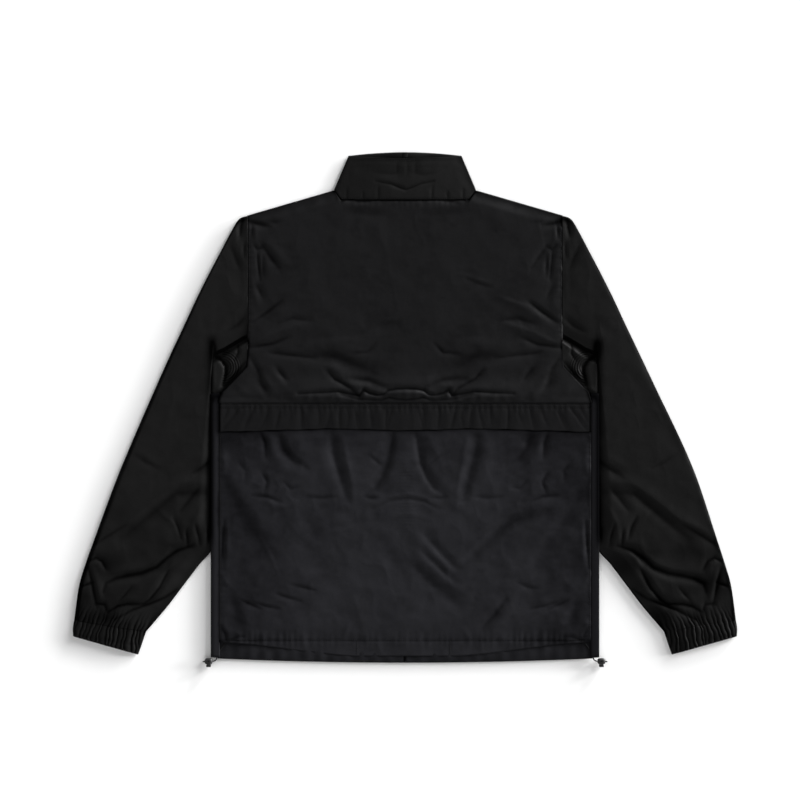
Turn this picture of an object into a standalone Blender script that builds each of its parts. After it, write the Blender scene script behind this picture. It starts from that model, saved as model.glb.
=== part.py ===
"""Windbreaker laid out face down: its back is up and its sleeves lie beside the body.

X runs to the right across the back, Y up to the collar and Z up from the surface under the front.
Sizes are millimetres until a mesh is made. The origin is on that surface, in the middle of the garment.
Side -1 is the wearer's left and side 1 the right. Tables give the right side's distances from the middle.
"""

import math
from collections import namedtuple

import bmesh
import bpy
from mathutils import Vector

MM = 0.001
SHARP_EDGE_DEGREES = 50.0
FOLD_END_SHARE = 0.15
WALL = 1.2
SEAM = 0.3
SIDES = {"left": -1, "right": 1}

# Body, across and along
BODY_HALF = 291.0
SIDE_SEAM_X = 279.0
SHOULDER = (235.5, 285.2)
NECK = (106.5, 322.5)
COLLAR_SEAM_X = 96.0
COLLAR_SEAM_Y = 309.6
WAIST_SEAM_Y = 7.5
HEM_CENTRE_Y = -381.75
HEM_SIDE_Y = -375.0
BACK_HEM_CENTRE_Y = -373.5
BACK_HEM_SIDE_Y = -352.0
BACK_HEM_FLAT_HALF = 77.0
CASING_STITCH_Y = -348.75

# Heights of the layers over the surface
BACK_LOFT = 5.6
BACK_CROWN = 0.8
SHOULDER_EDGE_LOFT = 3.0
EDGE_FALL = 20.0
ROLL_LIFT = 3.6
ROLL_DEPTH = 24.0
ROLL_MIDDLE_HALF = 150.0
ROLL_FADE = 90.0
ROLL_END_SHARE = 0.35
ROLL_SPREAD = 0.6
CASING_LIFT = 0.7

# Collar, a stand that lies flat
COLLAR_TOP_HALF = 84.5
COLLAR_TOP_SIDE_Y = 376.5
COLLAR_BACK_DIP = 6.0
COLLAR_FRONT_RISE = 5.25
COLLAR_LOFT = 7.4
COLLAR_FLAT_SHARE = 0.7
NECK_FRONT_Y = 285.0
NECK_BEND = (54.0, 296.0)

# Zip in the middle of the front
ZIP_HALF = 3.2
ZIP_EDGE = ZIP_HALF + SEAM
ZIP_TOP_Y = 369.5
ZIP_LIFT = 2.9
ZIP_LIFT_HALF = 34.0
ZIP_LIFT_START_Y = 318.0
ZIP_LIFT_RUN = 18.0
ZIP_LIFT_STEPS = 4
PLATE = 0.8
SLIDER_FOOT_Y = 358.5
SLIDER_HEAD_Y = 373.0
LUG_HALF = 0.9
LUG_LENGTH = 4.0
TAB_HINGE = (0.0, 363.0, 0.7)
TAB_THICK = 0.8
TAB_HALF = 2.8
TAB_ARM = 1.6
TAB_LENGTH = 24.0
TAB_EAR = 0.6
TAB_CROTCH = 3.5

# Tubes that lie flat: sleeves and cuffs
TUBE_TIP_LOFT = 1.5
TUBE_EDGE_LOFT = 3.0
TUBE_EDGE = 2.5
TUBE_FALL = 24.0
TUBE_INSET = 1.5
TUBE_TOP_SHARES = (0.0, 0.06, 0.14, 0.23, 0.33, 0.44, 0.55, 0.66, 0.77, 0.87, 0.94, 1.0)
TUBE_REST_SHARES = (1.0, 0.75, 0.5, 0.25, 0.0)
CUFF_GATHERS = 14
GATHER_POINTS = 3
GATHER_LIFT = 1.3
CUFF_LOFT = 5.0

# Flap over the waist seam
FLAP_TOP_Y = 7.2
FLAP_HALF = 278.6
PUCKER_HALF = 9.0
PUCKER_EDGE_SHARE = 0.45

# Hem cord and its lock
CORD_DIAMETER = 1.8
LOCK_CENTRE = (294.2, -380.9, 4.5)
LOCK_HALF = (6.0, 4.6, 4.2)
LOCK_HOLE = 1.35
LOCK_SIDES = 16
BUTTON_HALF = (3.6, 3.2)
BUTTON_LENGTH = 3.6

Fold = namedtuple("Fold", "name x0 y0 x1 y1 width height")
Station = namedtuple("Station", "outer_x outer_y inner_x inner_y loft")
Pucker = namedtuple("Pucker", "x lean height")
Bend = namedtuple("Bend", "share inset height")

BACK_FOLDS = (
    Fold("left armpit ridge", -225.0, 97.5, -151.5, 129.0, 24.0, 3.0),
    Fold("left armpit trough", -225.0, 129.0, -172.5, 173.0, 22.0, -1.6),
    Fold("left blouse fold", -204.0, 79.5, -57.0, 56.0, 24.0, 2.8),
    Fold("right armpit ridge", 225.0, 97.5, 151.5, 129.0, 24.0, 3.0),
    Fold("right armpit trough", 225.0, 129.0, 172.5, 173.0, 22.0, -1.6),
    Fold("right blouse fold", 204.0, 79.5, 57.0, 56.0, 24.0, 2.8),
    Fold("right blade ridge", 90.0, 196.0, 183.0, 150.0, 24.0, 1.6),
    Fold("left shoulder dent", -228.0, 262.0, -190.0, 222.0, 20.0, -1.6),
    Fold("right shoulder dent", 228.0, 262.0, 190.0, 222.0, 20.0, -1.6),
    Fold("left side trough", -276.0, -105.0, -198.0, -223.5, 32.0, -1.9),
    Fold("right side trough", 268.5, -105.0, 216.0, -208.5, 32.0, -1.9),
    Fold("left fold under flap", -187.5, -42.0, -160.5, -84.0, 24.0, 2.4),
    Fold("middle left fold under flap", -15.0, -55.5, -55.5, -133.5, 24.0, 2.4),
    Fold("middle right fold under flap", 18.0, -55.5, 40.5, -120.0, 24.0, 2.2),
    Fold("right fold under flap", 88.5, -55.5, 100.5, -160.5, 24.0, 2.4),
    Fold("far right fold under flap", 187.5, -45.0, 174.0, -73.5, 24.0, 2.2),
    Fold("long crease, outer", 223.5, -148.5, 154.5, -162.0, 28.0, 2.0),
    Fold("long crease, inner", 150.0, -164.0, 66.0, -243.0, 28.0, 2.4),
    Fold("seat ridge", 18.0, -192.0, 61.5, -240.0, 26.0, 1.8),
    Fold("low ridge", 18.0, -219.0, 93.0, -282.0, 26.0, 1.6),
    Fold("low right trough", 148.5, -291.0, 117.0, -331.5, 22.0, -1.4),
)

# One row for each line across a sleeve, from the armhole to the cuff
SLEEVE_STATIONS = (
    Station(235.8, 285.0, 235.8, 103.5, 5.4),
    Station(250.0, 279.5, 252.0, 94.0, 5.6),
    Station(262.5, 259.5, 270.0, 83.5, 5.8),
    Station(277.5, 231.0, 286.5, 73.5, 6.0),
    Station(294.0, 199.5, 288.5, 46.5, 6.2),
    Station(312.0, 163.5, 288.5, 19.5, 6.2),
    Station(331.5, 121.5, 288.5, -13.5, 6.2),
    Station(354.0, 73.5, 288.5, -52.5, 6.2),
    Station(378.0, 19.5, 288.5, -94.5, 6.2),
    Station(403.5, -39.0, 288.5, -136.5, 6.2),
    Station(427.5, -96.0, 288.5, -178.5, 6.4),
    Station(447.0, -147.0, 288.5, -211.5, 6.4),
    Station(463.5, -192.0, 309.0, -237.0, 6.4),
    Station(478.5, -234.0, 333.0, -268.5, 6.2),
    Station(489.0, -270.0, 357.0, -300.0, 6.0),
    Station(496.0, -320.0, 388.5, -337.0, 5.2),
)

CUFF_STATIONS = (
    Station(496.1, -320.5, 388.8, -337.5, CUFF_LOFT),
    Station(498.0, -332.0, 394.0, -354.0, CUFF_LOFT + 0.4),
    Station(497.5, -343.5, 400.0, -371.0, CUFF_LOFT),
)

SLEEVE_FOLDS = (
    Fold("elbow ridge", 300.0, -112.0, 430.0, -182.0, 26.0, 3.0),
    Fold("elbow trough", 302.0, -140.0, 420.0, -205.0, 20.0, -1.4),
    Fold("forearm ridge", 330.0, -222.0, 446.0, -246.0, 22.0, 2.6),
    Fold("forearm trough", 322.0, -212.0, 392.0, -292.0, 20.0, -1.6),
    Fold("wrist ridge", 360.0, -262.0, 440.0, -300.0, 20.0, 2.2),
    Fold("upper arm ridge", 290.0, -62.0, 330.0, -92.0, 24.0, 1.8),
)

FLAP_PUCKERS = (
    Pucker(-262.0, 4.0, 1.3),
    Pucker(-236.0, -5.0, 1.7),
    Pucker(-211.0, 7.0, 1.2),
    Pucker(-186.0, -4.0, 2.0),
    Pucker(-161.0, 6.0, 1.5),
    Pucker(-137.0, 3.0, 1.9),
    Pucker(-112.0, -6.0, 1.3),
    Pucker(-87.0, 5.0, 2.1),
    Pucker(-62.0, -3.0, 1.4),
    Pucker(-38.0, 5.0, 1.8),
    Pucker(-13.0, -4.0, 1.2),
    Pucker(12.0, 4.0, 1.6),
    Pucker(37.0, -6.0, 2.0),
    Pucker(63.0, 3.0, 1.3),
    Pucker(88.0, -5.0, 1.9),
    Pucker(113.0, 6.0, 1.5),
    Pucker(138.0, -4.0, 2.1),
    Pucker(163.0, 5.0, 1.4),
    Pucker(188.0, -7.0, 1.8),
    Pucker(212.0, 4.0, 1.3),
    Pucker(237.0, -5.0, 1.7),
    Pucker(262.0, 3.0, 1.2),
)

# Half widths at heights along the body, as (y, half width)
BACK_SIDE = ((283.0, 235.5), (97.5, 235.5), (60.0, 238.0), (22.5, 274.5), (7.5, SIDE_SEAM_X))
FRONT_SIDE = ((96.0, 235.0), (66.0, 281.0), (60.0, 284.0), (24.5, 284.0), (20.0, BODY_HALF))
FRONT_CURL = ((24.5, 0.0), (20.0, 1.0))
FLAP_EDGE = ((0.0, -35.3), (104.0, -32.3), (200.0, -35.0), (FLAP_HALF, -37.5))

# Section of a front, from the zip to the side seam: it lies flat, then rolls up round the side
FRONT_SECTION = (
    Bend(0.0, None, 0.0),
    Bend((NECK_BEND[0] - ZIP_EDGE) / (SHOULDER[0] - SEAM - ZIP_EDGE), None, 0.0),
    Bend((NECK[0] - ZIP_EDGE) / (SHOULDER[0] - SEAM - ZIP_EDGE), None, 0.0),
    Bend(0.68, None, 0.0),
    Bend(0.84, None, 0.0),
    Bend(0.91, None, 0.0),
    Bend(0.93, 11.0, 1.0),
    Bend(0.95, 4.0, 2.7),
    Bend(0.965, 0.0, 4.6),
    Bend(0.978, 2.0, 6.1),
    Bend(0.99, 6.5, 6.4),
    Bend(1.0, BODY_HALF - SIDE_SEAM_X - SEAM, 6.4),
)
FRONT_ROWS = (-345.0, -290.0, -200.0, -100.0, 0.0, 20.0, 24.5, 60.0, 96.0, 150.0, 230.0)
FRONT_TOP_SHARES = (0.5, 1.0)

UPPER_COLUMNS = (0.0, 0.1, 0.2, 0.3, 0.408, 0.452, 0.53, 0.61, 0.69, 0.77, 0.85, 0.93, 1.0)
UPPER_ROWS = (
    0.0, 0.035, 0.075, 0.14, 0.22, 0.31, 0.4, 0.49, 0.58, 0.676, 0.74, 0.811, 0.86, 0.905, 0.946, 0.973, 1.0)
LOWER_COLUMNS = tuple(step / 14.0 for step in range(15))
LOWER_ROWS = (
    0.0, 0.06, 0.12, 0.18, 0.25, 0.32, 0.39, 0.46, 0.53, 0.6, 0.67, 0.74, 0.81, 0.88, 0.935, 0.97, 1.0)
FLAP_ROWS = (0.0, 0.33, 0.67, 1.0)
COLLAR_ROWS = (0.0, 0.25, 0.5, 0.75, 1.0)
COLLAR_COLUMNS = (0.0, 0.2, 0.4, 0.6, 0.8, 0.92, 1.0)
NECK_BEND_SHARE = (NECK_BEND[0] - ZIP_EDGE) / (NECK[0] - ZIP_EDGE)
FRONT_COLLAR_COLUMNS = (0.0, 0.1, 0.2, 0.32, NECK_BEND_SHARE, 0.7, 0.86, 1.0)
NECKLINE = ((0.0, NECK_FRONT_Y), NECK_BEND, NECK)

# Gusset under the arm: its edge by the sleeve, then its edge by the back
GUSSET_ARM_EDGE = ((237.6, 96.0), (285.8, 72.4))
GUSSET_BACK_EDGE = ((239.6, 60.0), (276.0, 24.0), (288.0, 24.0))
GUSSET_COLUMNS = 13
GUSSET_ROWS = 5
GUSSET_PLEATS = 4
GUSSET_LIFT = 0.9
GUSSET_LOFT = BACK_LOFT + 0.4
GUSSET_EDGE_FALL = 0.6
GUSSET_FLAT_SHARE = 0.8

CORD_ROUTE = (
    (262.0, -345.0, 3.3),
    (271.0, -356.0, 3.4),
    (278.0, -366.0, 3.6),
    (281.3, -374.0, 3.9),
    (283.2, -378.6, 4.2),
    (287.2, -380.7, 4.5),
    (294.2, -380.9, 4.5),
    (303.0, -381.4, 4.3),
)
CORD_STEP = 4.5


def clear_scene():
    for obj in list(bpy.data.objects):
        bpy.data.objects.remove(obj, do_unlink=True)


def make_material(name, colour, roughness, metallic=0.0):
    made = bpy.data.materials.new(name)
    made.use_nodes = True
    shader = made.node_tree.nodes["Principled BSDF"]
    shader.inputs["Base Color"].default_value = (*colour, 1.0)
    shader.inputs["Roughness"].default_value = roughness
    shader.inputs["Metallic"].default_value = metallic
    return made


def smooth(value):
    held = min(max(value, 0.0), 1.0)
    return held * held * (3.0 - 2.0 * held)


def mix(start, end, share):
    return start + (end - start) * share


def read_table(rows, place):
    """Value at a place in rows of (place, value), straight between them and level past the ends."""
    ordered = sorted(rows)
    if place <= ordered[0][0]:
        return ordered[0][1]
    for (place_a, value_a), (place_b, value_b) in zip(ordered, ordered[1:]):
        if place <= place_b:
            return mix(value_a, value_b, (place - place_a) / (place_b - place_a))
    return ordered[-1][1]


def point_on_path(path, share):
    """Point at a share of the length of a path of straight stretches."""
    points = [Vector(point) for point in path]
    lengths = [(b - a).length for a, b in zip(points, points[1:])]
    left = share * sum(lengths)
    for start, end, length in zip(points, points[1:], lengths):
        if left <= length:
            return start.lerp(end, left / length)
        left -= length
    return points[-1].copy()


def fold_height(folds, x, y):
    """Sum of the ridges and troughs at a place: soft across, and fading to their ends."""
    total = 0.0
    place = Vector((x, y))
    for fold in folds:
        start = Vector((fold.x0, fold.y0))
        run = Vector((fold.x1, fold.y1)) - start
        share = min(max((place - start).dot(run) / run.length_squared, 0.0), 1.0)
        away = (place - start - run * share).length / fold.width
        if away < 1.0:
            along = math.sin(math.pi * mix(FOLD_END_SHARE, 1.0 - FOLD_END_SHARE, share))
            total += fold.height * (1.0 - away * away) ** 2 * along
    return total


def build_mesh(name, points, faces, material, origin=(0.0, 0.0, 0.0)):
    """Object from points in millimetres, with its faces turned outwards and its origin at a point."""
    mesh = bpy.data.meshes.new(name)
    start = Vector(origin)
    mesh.from_pydata([(Vector(point) - start) * MM for point in points], [], faces)
    work = bmesh.new()
    work.from_mesh(mesh)
    bmesh.ops.recalc_face_normals(work, faces=work.faces)
    work.to_mesh(mesh)
    work.free()
    mesh.shade_smooth()
    mesh.set_sharp_from_angle(angle=math.radians(SHARP_EDGE_DEGREES))
    mesh.materials.append(material)
    obj = bpy.data.objects.new(name, mesh)
    obj.location = start * MM
    bpy.context.collection.objects.link(obj)
    return obj


def wall_between(name, outer, inner, material):
    """Closed wall between two grids of points that match, row for row."""
    rows = len(outer)
    columns = len(outer[0])
    count = rows * columns
    points = [point for grid in (outer, inner) for row in grid for point in row]
    faces = []
    for row in range(rows - 1):
        for column in range(columns - 1):
            corner = row * columns + column
            quad = (corner, corner + 1, corner + columns + 1, corner + columns)
            faces.append(quad)
            faces.append(tuple(index + count for index in reversed(quad)))
    rim = list(range(columns))
    rim += [row * columns + columns - 1 for row in range(1, rows)]
    rim += [(rows - 1) * columns + column for column in range(columns - 2, -1, -1)]
    rim += [row * columns for row in range(rows - 2, 0, -1)]
    for here, there in zip(rim, rim[1:] + rim[:1]):
        faces.append((there, here, here + count, there + count))
    return build_mesh(name, points, faces, material)


def tube_between(name, outer, inner, material):
    """Closed wall of a tube between two stacks of rings that match, open at both ends."""
    rings = len(outer)
    sides = len(outer[0])
    count = rings * sides
    points = [point for stack in (outer, inner) for ring in stack for point in ring]
    faces = []
    for ring in range(rings - 1):
        for side in range(sides):
            here = ring * sides + side
            there = ring * sides + (side + 1) % sides
            quad = (here, there, there + sides, here + sides)
            faces.append(quad)
            faces.append(tuple(index + count for index in reversed(quad)))
    for first in (0, (rings - 1) * sides):
        for side in range(sides):
            here = first + side
            there = first + (side + 1) % sides
            faces.append((here, there, there + count, here + count))
    return build_mesh(name, points, faces, material)


def both_ways(shares):
    return [-share for share in reversed(shares) if share > 0.0] + list(shares)


def shoulder_line(x):
    share = (abs(x) - NECK[0]) / (SHOULDER[0] - NECK[0])
    return mix(NECK[1], SHOULDER[1], share)


def back_top(x):
    """Upper edge of the back: the collar seam, then the shoulder."""
    if abs(x) <= COLLAR_SEAM_X:
        return COLLAR_SEAM_Y
    if abs(x) < NECK[0]:
        return mix(COLLAR_SEAM_Y, NECK[1], (abs(x) - COLLAR_SEAM_X) / (NECK[0] - COLLAR_SEAM_X))
    return shoulder_line(x)


def back_hem(x):
    run = (abs(x) - BACK_HEM_FLAT_HALF) / (SIDE_SEAM_X - BACK_HEM_FLAT_HALF)
    return mix(BACK_HEM_CENTRE_Y, BACK_HEM_SIDE_Y, smooth(run))


def front_hem(x):
    return mix(HEM_CENTRE_Y, HEM_SIDE_Y, (abs(x) / BODY_HALF) ** 2)


def back_height(x, y):
    """Outer face of the back over the surface, without what is sewn on it."""
    height = BACK_LOFT + BACK_CROWN * (1.0 - (x / BODY_HALF) ** 2)
    flap_low = FLAP_EDGE[-1][1]
    if y > WAIST_SEAM_Y or y < flap_low:
        fade = 1.0 if y > WAIST_SEAM_Y else smooth((flap_low - y) / ROLL_DEPTH)
        height += fade * fold_height(BACK_FOLDS, x, y)
    if y > WAIST_SEAM_Y:
        roll_share = (y - WAIST_SEAM_Y) / ROLL_DEPTH
        middle = 1.0 - smooth((abs(x) - ROLL_MIDDLE_HALF) / ROLL_FADE)
        bulge = max(0.0, 1.0 - ((roll_share - 0.5) / ROLL_SPREAD) ** 2)
        height += ROLL_LIFT * mix(ROLL_END_SHARE, 1.0, middle) * bulge
    if y < CASING_STITCH_Y:
        height += CASING_LIFT
    if abs(x) > COLLAR_SEAM_X:
        lie = smooth((abs(x) - COLLAR_SEAM_X) / (NECK[0] - COLLAR_SEAM_X))
        fall = 1.0 - smooth((shoulder_line(x) - y) / EDGE_FALL)
        height = mix(height, SHOULDER_EDGE_LOFT, lie * fall)
    return height


def lowered(grid):
    """The inner face of a wall whose outer face is this grid of points."""
    return [[point - Vector((0.0, 0.0, WALL)) for point in row] for row in grid]


def build_back_upper(cloth):
    grid = []
    for down in UPPER_ROWS:
        row = []
        for across in both_ways(UPPER_COLUMNS):
            top = back_top(across * SHOULDER[0])
            y = mix(top, WAIST_SEAM_Y, down)
            x = across * read_table(BACK_SIDE, y)
            row.append(Vector((x, y, back_height(x, y))))
        grid.append(row)
    wall_between("back_upper", grid, lowered(grid), cloth)


def build_back_lower(cloth):
    grid = []
    for down in LOWER_ROWS:
        row = []
        for across in both_ways(LOWER_COLUMNS):
            x = across * SIDE_SEAM_X
            y = mix(FLAP_TOP_Y, back_hem(x), down)
            row.append(Vector((x, y, back_height(x, y))))
        grid.append(row)
    wall_between("back_lower", grid, lowered(grid), cloth)


def flap_columns():
    """Places across the flap: its ends, and the foot, top and foot of each pucker."""
    places = [-FLAP_HALF, FLAP_HALF]
    for pucker in FLAP_PUCKERS:
        places += [pucker.x - PUCKER_HALF, pucker.x, pucker.x + PUCKER_HALF]
    return sorted(places)


def pucker_height(x):
    total = 0.0
    for pucker in FLAP_PUCKERS:
        away = abs(x - pucker.x) / PUCKER_HALF
        total += pucker.height * max(0.0, 1.0 - away)
    return total


def pucker_lean(x):
    nearest = min(FLAP_PUCKERS, key=lambda pucker: abs(x - pucker.x))
    return nearest.lean * max(0.0, 1.0 - abs(x - nearest.x) / (2.0 * PUCKER_HALF))


def build_flap(cloth):
    outer = []
    inner = []
    for down in FLAP_ROWS:
        outer_row = []
        inner_row = []
        for place in flap_columns():
            x = place + pucker_lean(place) * down
            y = mix(FLAP_TOP_Y, read_table(FLAP_EDGE, abs(x)), down)
            base = back_height(x, y) + SEAM
            swell = pucker_height(place) * mix(PUCKER_EDGE_SHARE, 1.0, math.sin(math.pi * down))
            inner_row.append(Vector((x, y, base)))
            outer_row.append(Vector((x, y, base + WALL + swell)))
        outer.append(outer_row)
        inner.append(inner_row)
    wall_between("back_flap", outer, inner, cloth)


def front_section(half_width, curl):
    """Points (x, z) of a front's outer face from the zip to the side, rolled up by the curl."""
    points = []
    for bend in FRONT_SECTION:
        flat_x = mix(ZIP_EDGE, half_width, bend.share)
        if bend.inset is None:
            points.append(Vector((flat_x, 0.0)))
        else:
            rolled = Vector((half_width - bend.inset, bend.height))
            points.append(Vector((flat_x, 0.0)).lerp(rolled, curl))
    return points


def offset_section(points):
    """The same section moved inwards by the wall."""
    moved = []
    for index, point in enumerate(points):
        before = points[max(index - 1, 0)]
        after = points[min(index + 1, len(points) - 1)]
        run = (after - before).normalized()
        moved.append(point + Vector((-run.y, run.x)) * WALL)
    return moved


def neckline(x):
    """Upper edge of a front: the neckline, then the shoulder."""
    if abs(x) < NECK[0]:
        return read_table(NECKLINE, abs(x))
    return shoulder_line(x)


def front_rows(x_at_hem):
    """Heights along the body of one line of a front, from the hem to the row under the shoulder."""
    return (front_hem(x_at_hem),) + FRONT_ROWS


def build_front(name, side, cloth):
    outer = []
    inner = []
    for index in range(len(FRONT_ROWS) + 1):
        level = front_rows(0.0)[index]
        section = front_section(read_table(FRONT_SIDE, level), read_table(FRONT_CURL, level))
        lines = [(section, outer), (offset_section(section), inner)]
        for points, grid in lines:
            grid.append([Vector((side * p.x, front_rows(p.x)[index], p.y)) for p in points])
    for share in FRONT_TOP_SHARES:
        section = front_section(SHOULDER[0] - SEAM, 0.0)
        lines = [(section, outer), (offset_section(section), inner)]
        for points, grid in lines:
            row = []
            for point in points:
                y = mix(FRONT_ROWS[-1], neckline(point.x), share)
                row.append(Vector((side * point.x, y, point.y)))
            grid.append(row)
    wall_between(name, outer, inner, cloth)


def build_gusset(name, side, cloth):
    grid = []
    for row in range(GUSSET_ROWS):
        down = row / (GUSSET_ROWS - 1)
        line = []
        for column in range(GUSSET_COLUMNS):
            across = column / (GUSSET_COLUMNS - 1)
            arm = point_on_path(GUSSET_ARM_EDGE, across)
            back = point_on_path(GUSSET_BACK_EDGE, across)
            place = arm.lerp(back, down)
            pleat = GUSSET_LIFT * math.sin(2.0 * math.pi * GUSSET_PLEATS * across) * math.sin(math.pi * down)
            fall = smooth((across - GUSSET_FLAT_SHARE) / (1.0 - GUSSET_FLAT_SHARE))
            height = GUSSET_LOFT + pleat - GUSSET_EDGE_FALL * fall
            line.append(Vector((side * place.x, place.y, height)))
        grid.append(line)
    wall_between(name, grid, lowered(grid), cloth)


def tube_top(distance, width, loft):
    """Height of a flat tube's upper face at a distance from one edge."""
    near = min(distance, width - distance)
    return mix(TUBE_EDGE_LOFT, loft, smooth((near - TUBE_EDGE) / TUBE_FALL))


def tube_ring(station, side, shares, swell, inset, wall):
    """One ring of a tube that lies flat: its upper face, its far edge, its rest and its near edge."""
    start = Vector((side * station.inner_x, station.inner_y, 0.0))
    end = Vector((side * station.outer_x, station.outer_y, 0.0))
    width = (end - start).length
    ring = []

    def add(distance, height):
        held = mix(inset, width - inset, distance / width)
        place = start.lerp(end, held / width)
        ring.append(Vector((place.x, place.y, height)))

    add(0.0, TUBE_TIP_LOFT)
    for share in shares:
        distance = mix(TUBE_EDGE, width - TUBE_EDGE, share)
        place = start.lerp(end, distance / width)
        add(distance, tube_top(distance, width, station.loft) + swell(place, share, wall) - wall)
    add(width, TUBE_TIP_LOFT)
    for share in TUBE_REST_SHARES:
        add(mix(TUBE_EDGE, width - TUBE_EDGE, share), wall)
    return ring


def build_tube(name, side, stations, shares, swell, cloth):
    outer = [tube_ring(station, side, shares, swell, 0.0, 0.0) for station in stations]
    inner = [tube_ring(station, side, shares, swell, TUBE_INSET, WALL) for station in stations]
    tube_between(name, outer, inner, cloth)


def sleeve_swell(place, share, wall):
    return fold_height(SLEEVE_FOLDS, abs(place.x), place.y) * math.sin(math.pi * share)


def gather_swell(place, share, wall):
    """Gathers stand on a cuff's outer face, over a plain inside."""
    if wall > 0.0:
        return 0.0
    return GATHER_LIFT * (0.5 - 0.5 * math.cos(2.0 * math.pi * CUFF_GATHERS * share))


def build_collar_back(cloth):
    grid = []
    for up in COLLAR_ROWS:
        row = []
        for across in both_ways(COLLAR_COLUMNS):
            base_x = across * NECK[0]
            base_y = COLLAR_SEAM_Y + SEAM
            if abs(base_x) > COLLAR_SEAM_X:
                base_y = back_top(base_x) + SEAM
            top_y = COLLAR_TOP_SIDE_Y - COLLAR_BACK_DIP * (1.0 - across * across)
            x = mix(base_x, across * COLLAR_TOP_HALF, up)
            fall = smooth((abs(across) - COLLAR_FLAT_SHARE) / (1.0 - COLLAR_FLAT_SHARE))
            row.append(Vector((x, mix(base_y, top_y, up), mix(COLLAR_LOFT, SHOULDER_EDGE_LOFT, fall))))
        grid.append(row)
    wall_between("collar_back", grid, lowered(grid), cloth)


def zip_lift(x, y):
    """How far the front of the collar is held off the surface by the slider and its tab."""
    over = 1.0 - smooth((abs(x) - 2.0 * ZIP_HALF) / ZIP_LIFT_HALF)
    return ZIP_LIFT * over * smooth((y - ZIP_LIFT_START_Y) / ZIP_LIFT_RUN)


def build_collar_front(name, side, cloth):
    outer = []
    inner = []
    for up in COLLAR_ROWS:
        outer_row = []
        inner_row = []
        for across in FRONT_COLLAR_COLUMNS:
            base_x = mix(ZIP_EDGE, NECK[0], across)
            x = mix(base_x, mix(ZIP_EDGE, COLLAR_TOP_HALF, across), up)
            top_y = COLLAR_TOP_SIDE_Y + COLLAR_FRONT_RISE * (1.0 - across * across)
            y = mix(neckline(base_x) + SEAM, top_y, up)
            lift = zip_lift(x, y)
            outer_row.append(Vector((side * x, y, lift)))
            inner_row.append(Vector((side * x, y, lift + WALL)))
        outer.append(outer_row)
        inner.append(inner_row)
    wall_between(name, outer, inner, cloth)


def build_zip_chain(chain):
    heights = [HEM_CENTRE_Y, 0.0, NECK_FRONT_Y]
    heights += [ZIP_LIFT_START_Y + ZIP_LIFT_RUN * step / ZIP_LIFT_STEPS for step in range(ZIP_LIFT_STEPS + 1)]
    heights.append(ZIP_TOP_Y)
    edges = (-ZIP_HALF, ZIP_HALF)
    lower = [[Vector((x, y, zip_lift(x, y))) for x in edges] for y in heights]
    upper = [[point + Vector((0.0, 0.0, WALL)) for point in row] for row in lower]
    wall_between("zip_chain", upper, lower, chain)


def prism(name, outline, direction, material, origin=(0.0, 0.0, 0.0)):
    """Solid from a flat outline of points, pushed along a direction."""
    count = len(outline)
    points = [Vector(point) for point in outline]
    points += [point + Vector(direction) for point in points[:count]]
    faces = [tuple(range(count)), tuple(range(2 * count - 1, count - 1, -1))]
    for index in range(count):
        there = (index + 1) % count
        faces.append((index, there, there + count, index + count))
    return build_mesh(name, points, faces, material, origin)


def build_slider(metal):
    """Two plates round the chain, joined at the head, with a lug below for the tab."""
    chain_low = ZIP_LIFT - SEAM
    chain_high = ZIP_LIFT + WALL + SEAM
    neck_y = ZIP_TOP_Y + SEAM
    profile = (
        (SLIDER_FOOT_Y, chain_low - PLATE),
        (SLIDER_HEAD_Y, chain_low - PLATE),
        (SLIDER_HEAD_Y, chain_high + PLATE),
        (SLIDER_FOOT_Y, chain_high + PLATE),
        (SLIDER_FOOT_Y, chain_high),
        (neck_y, chain_high),
        (neck_y, chain_low),
        (SLIDER_FOOT_Y, chain_low),
    )
    outline = [(-ZIP_HALF, y, z) for y, z in profile]
    slider = prism("zip_slider", outline, (2.0 * ZIP_HALF, 0.0, 0.0), metal)
    low = TAB_HINGE[2] - TAB_THICK / 2.0
    high = chain_low - PLATE / 2.0
    start = TAB_HINGE[1] - LUG_LENGTH / 2.0
    lug_profile = ((start, low), (start + LUG_LENGTH, low), (start + LUG_LENGTH, high), (start, high))
    lug = prism("lug_shape", [(-LUG_HALF, y, z) for y, z in lug_profile], (2.0 * LUG_HALF, 0.0, 0.0), metal)
    lug.hide_render = True
    lug.display_type = "WIRE"
    joined = slider.modifiers.new("lug", "BOOLEAN")
    joined.operation = "UNION"
    joined.object = lug
    return slider


def build_pull_tab(metal):
    """Flat tab with a fork at its head: an ear on each side of the slider's lug."""
    hinge_y = TAB_HINGE[1]
    fork = TAB_HALF - TAB_ARM
    half_outline = (
        (fork, hinge_y - TAB_CROTCH),
        (fork, hinge_y + TAB_EAR),
        (TAB_HALF, hinge_y + TAB_EAR),
        (TAB_HALF, hinge_y - 0.9 * TAB_LENGTH),
        (0.6 * TAB_HALF, hinge_y - TAB_LENGTH),
    )
    low = TAB_HINGE[2] - TAB_THICK / 2.0
    outline = [(x, y, low) for x, y in half_outline]
    outline += [(-x, y, low) for x, y in reversed(half_outline)]
    return prism("zip_pull_tab", outline, (0.0, 0.0, TAB_THICK), metal, TAB_HINGE)


def rounded_ring(half_a, half_b, sides):
    """Points of a rounded oblong round the origin."""
    ring = []
    for index in range(sides):
        turn = 2.0 * math.pi * index / sides
        a = math.copysign(abs(math.cos(turn)) ** 0.7, math.cos(turn))
        b = math.copysign(abs(math.sin(turn)) ** 0.7, math.sin(turn))
        ring.append((half_a * a, half_b * b))
    return ring


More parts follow.
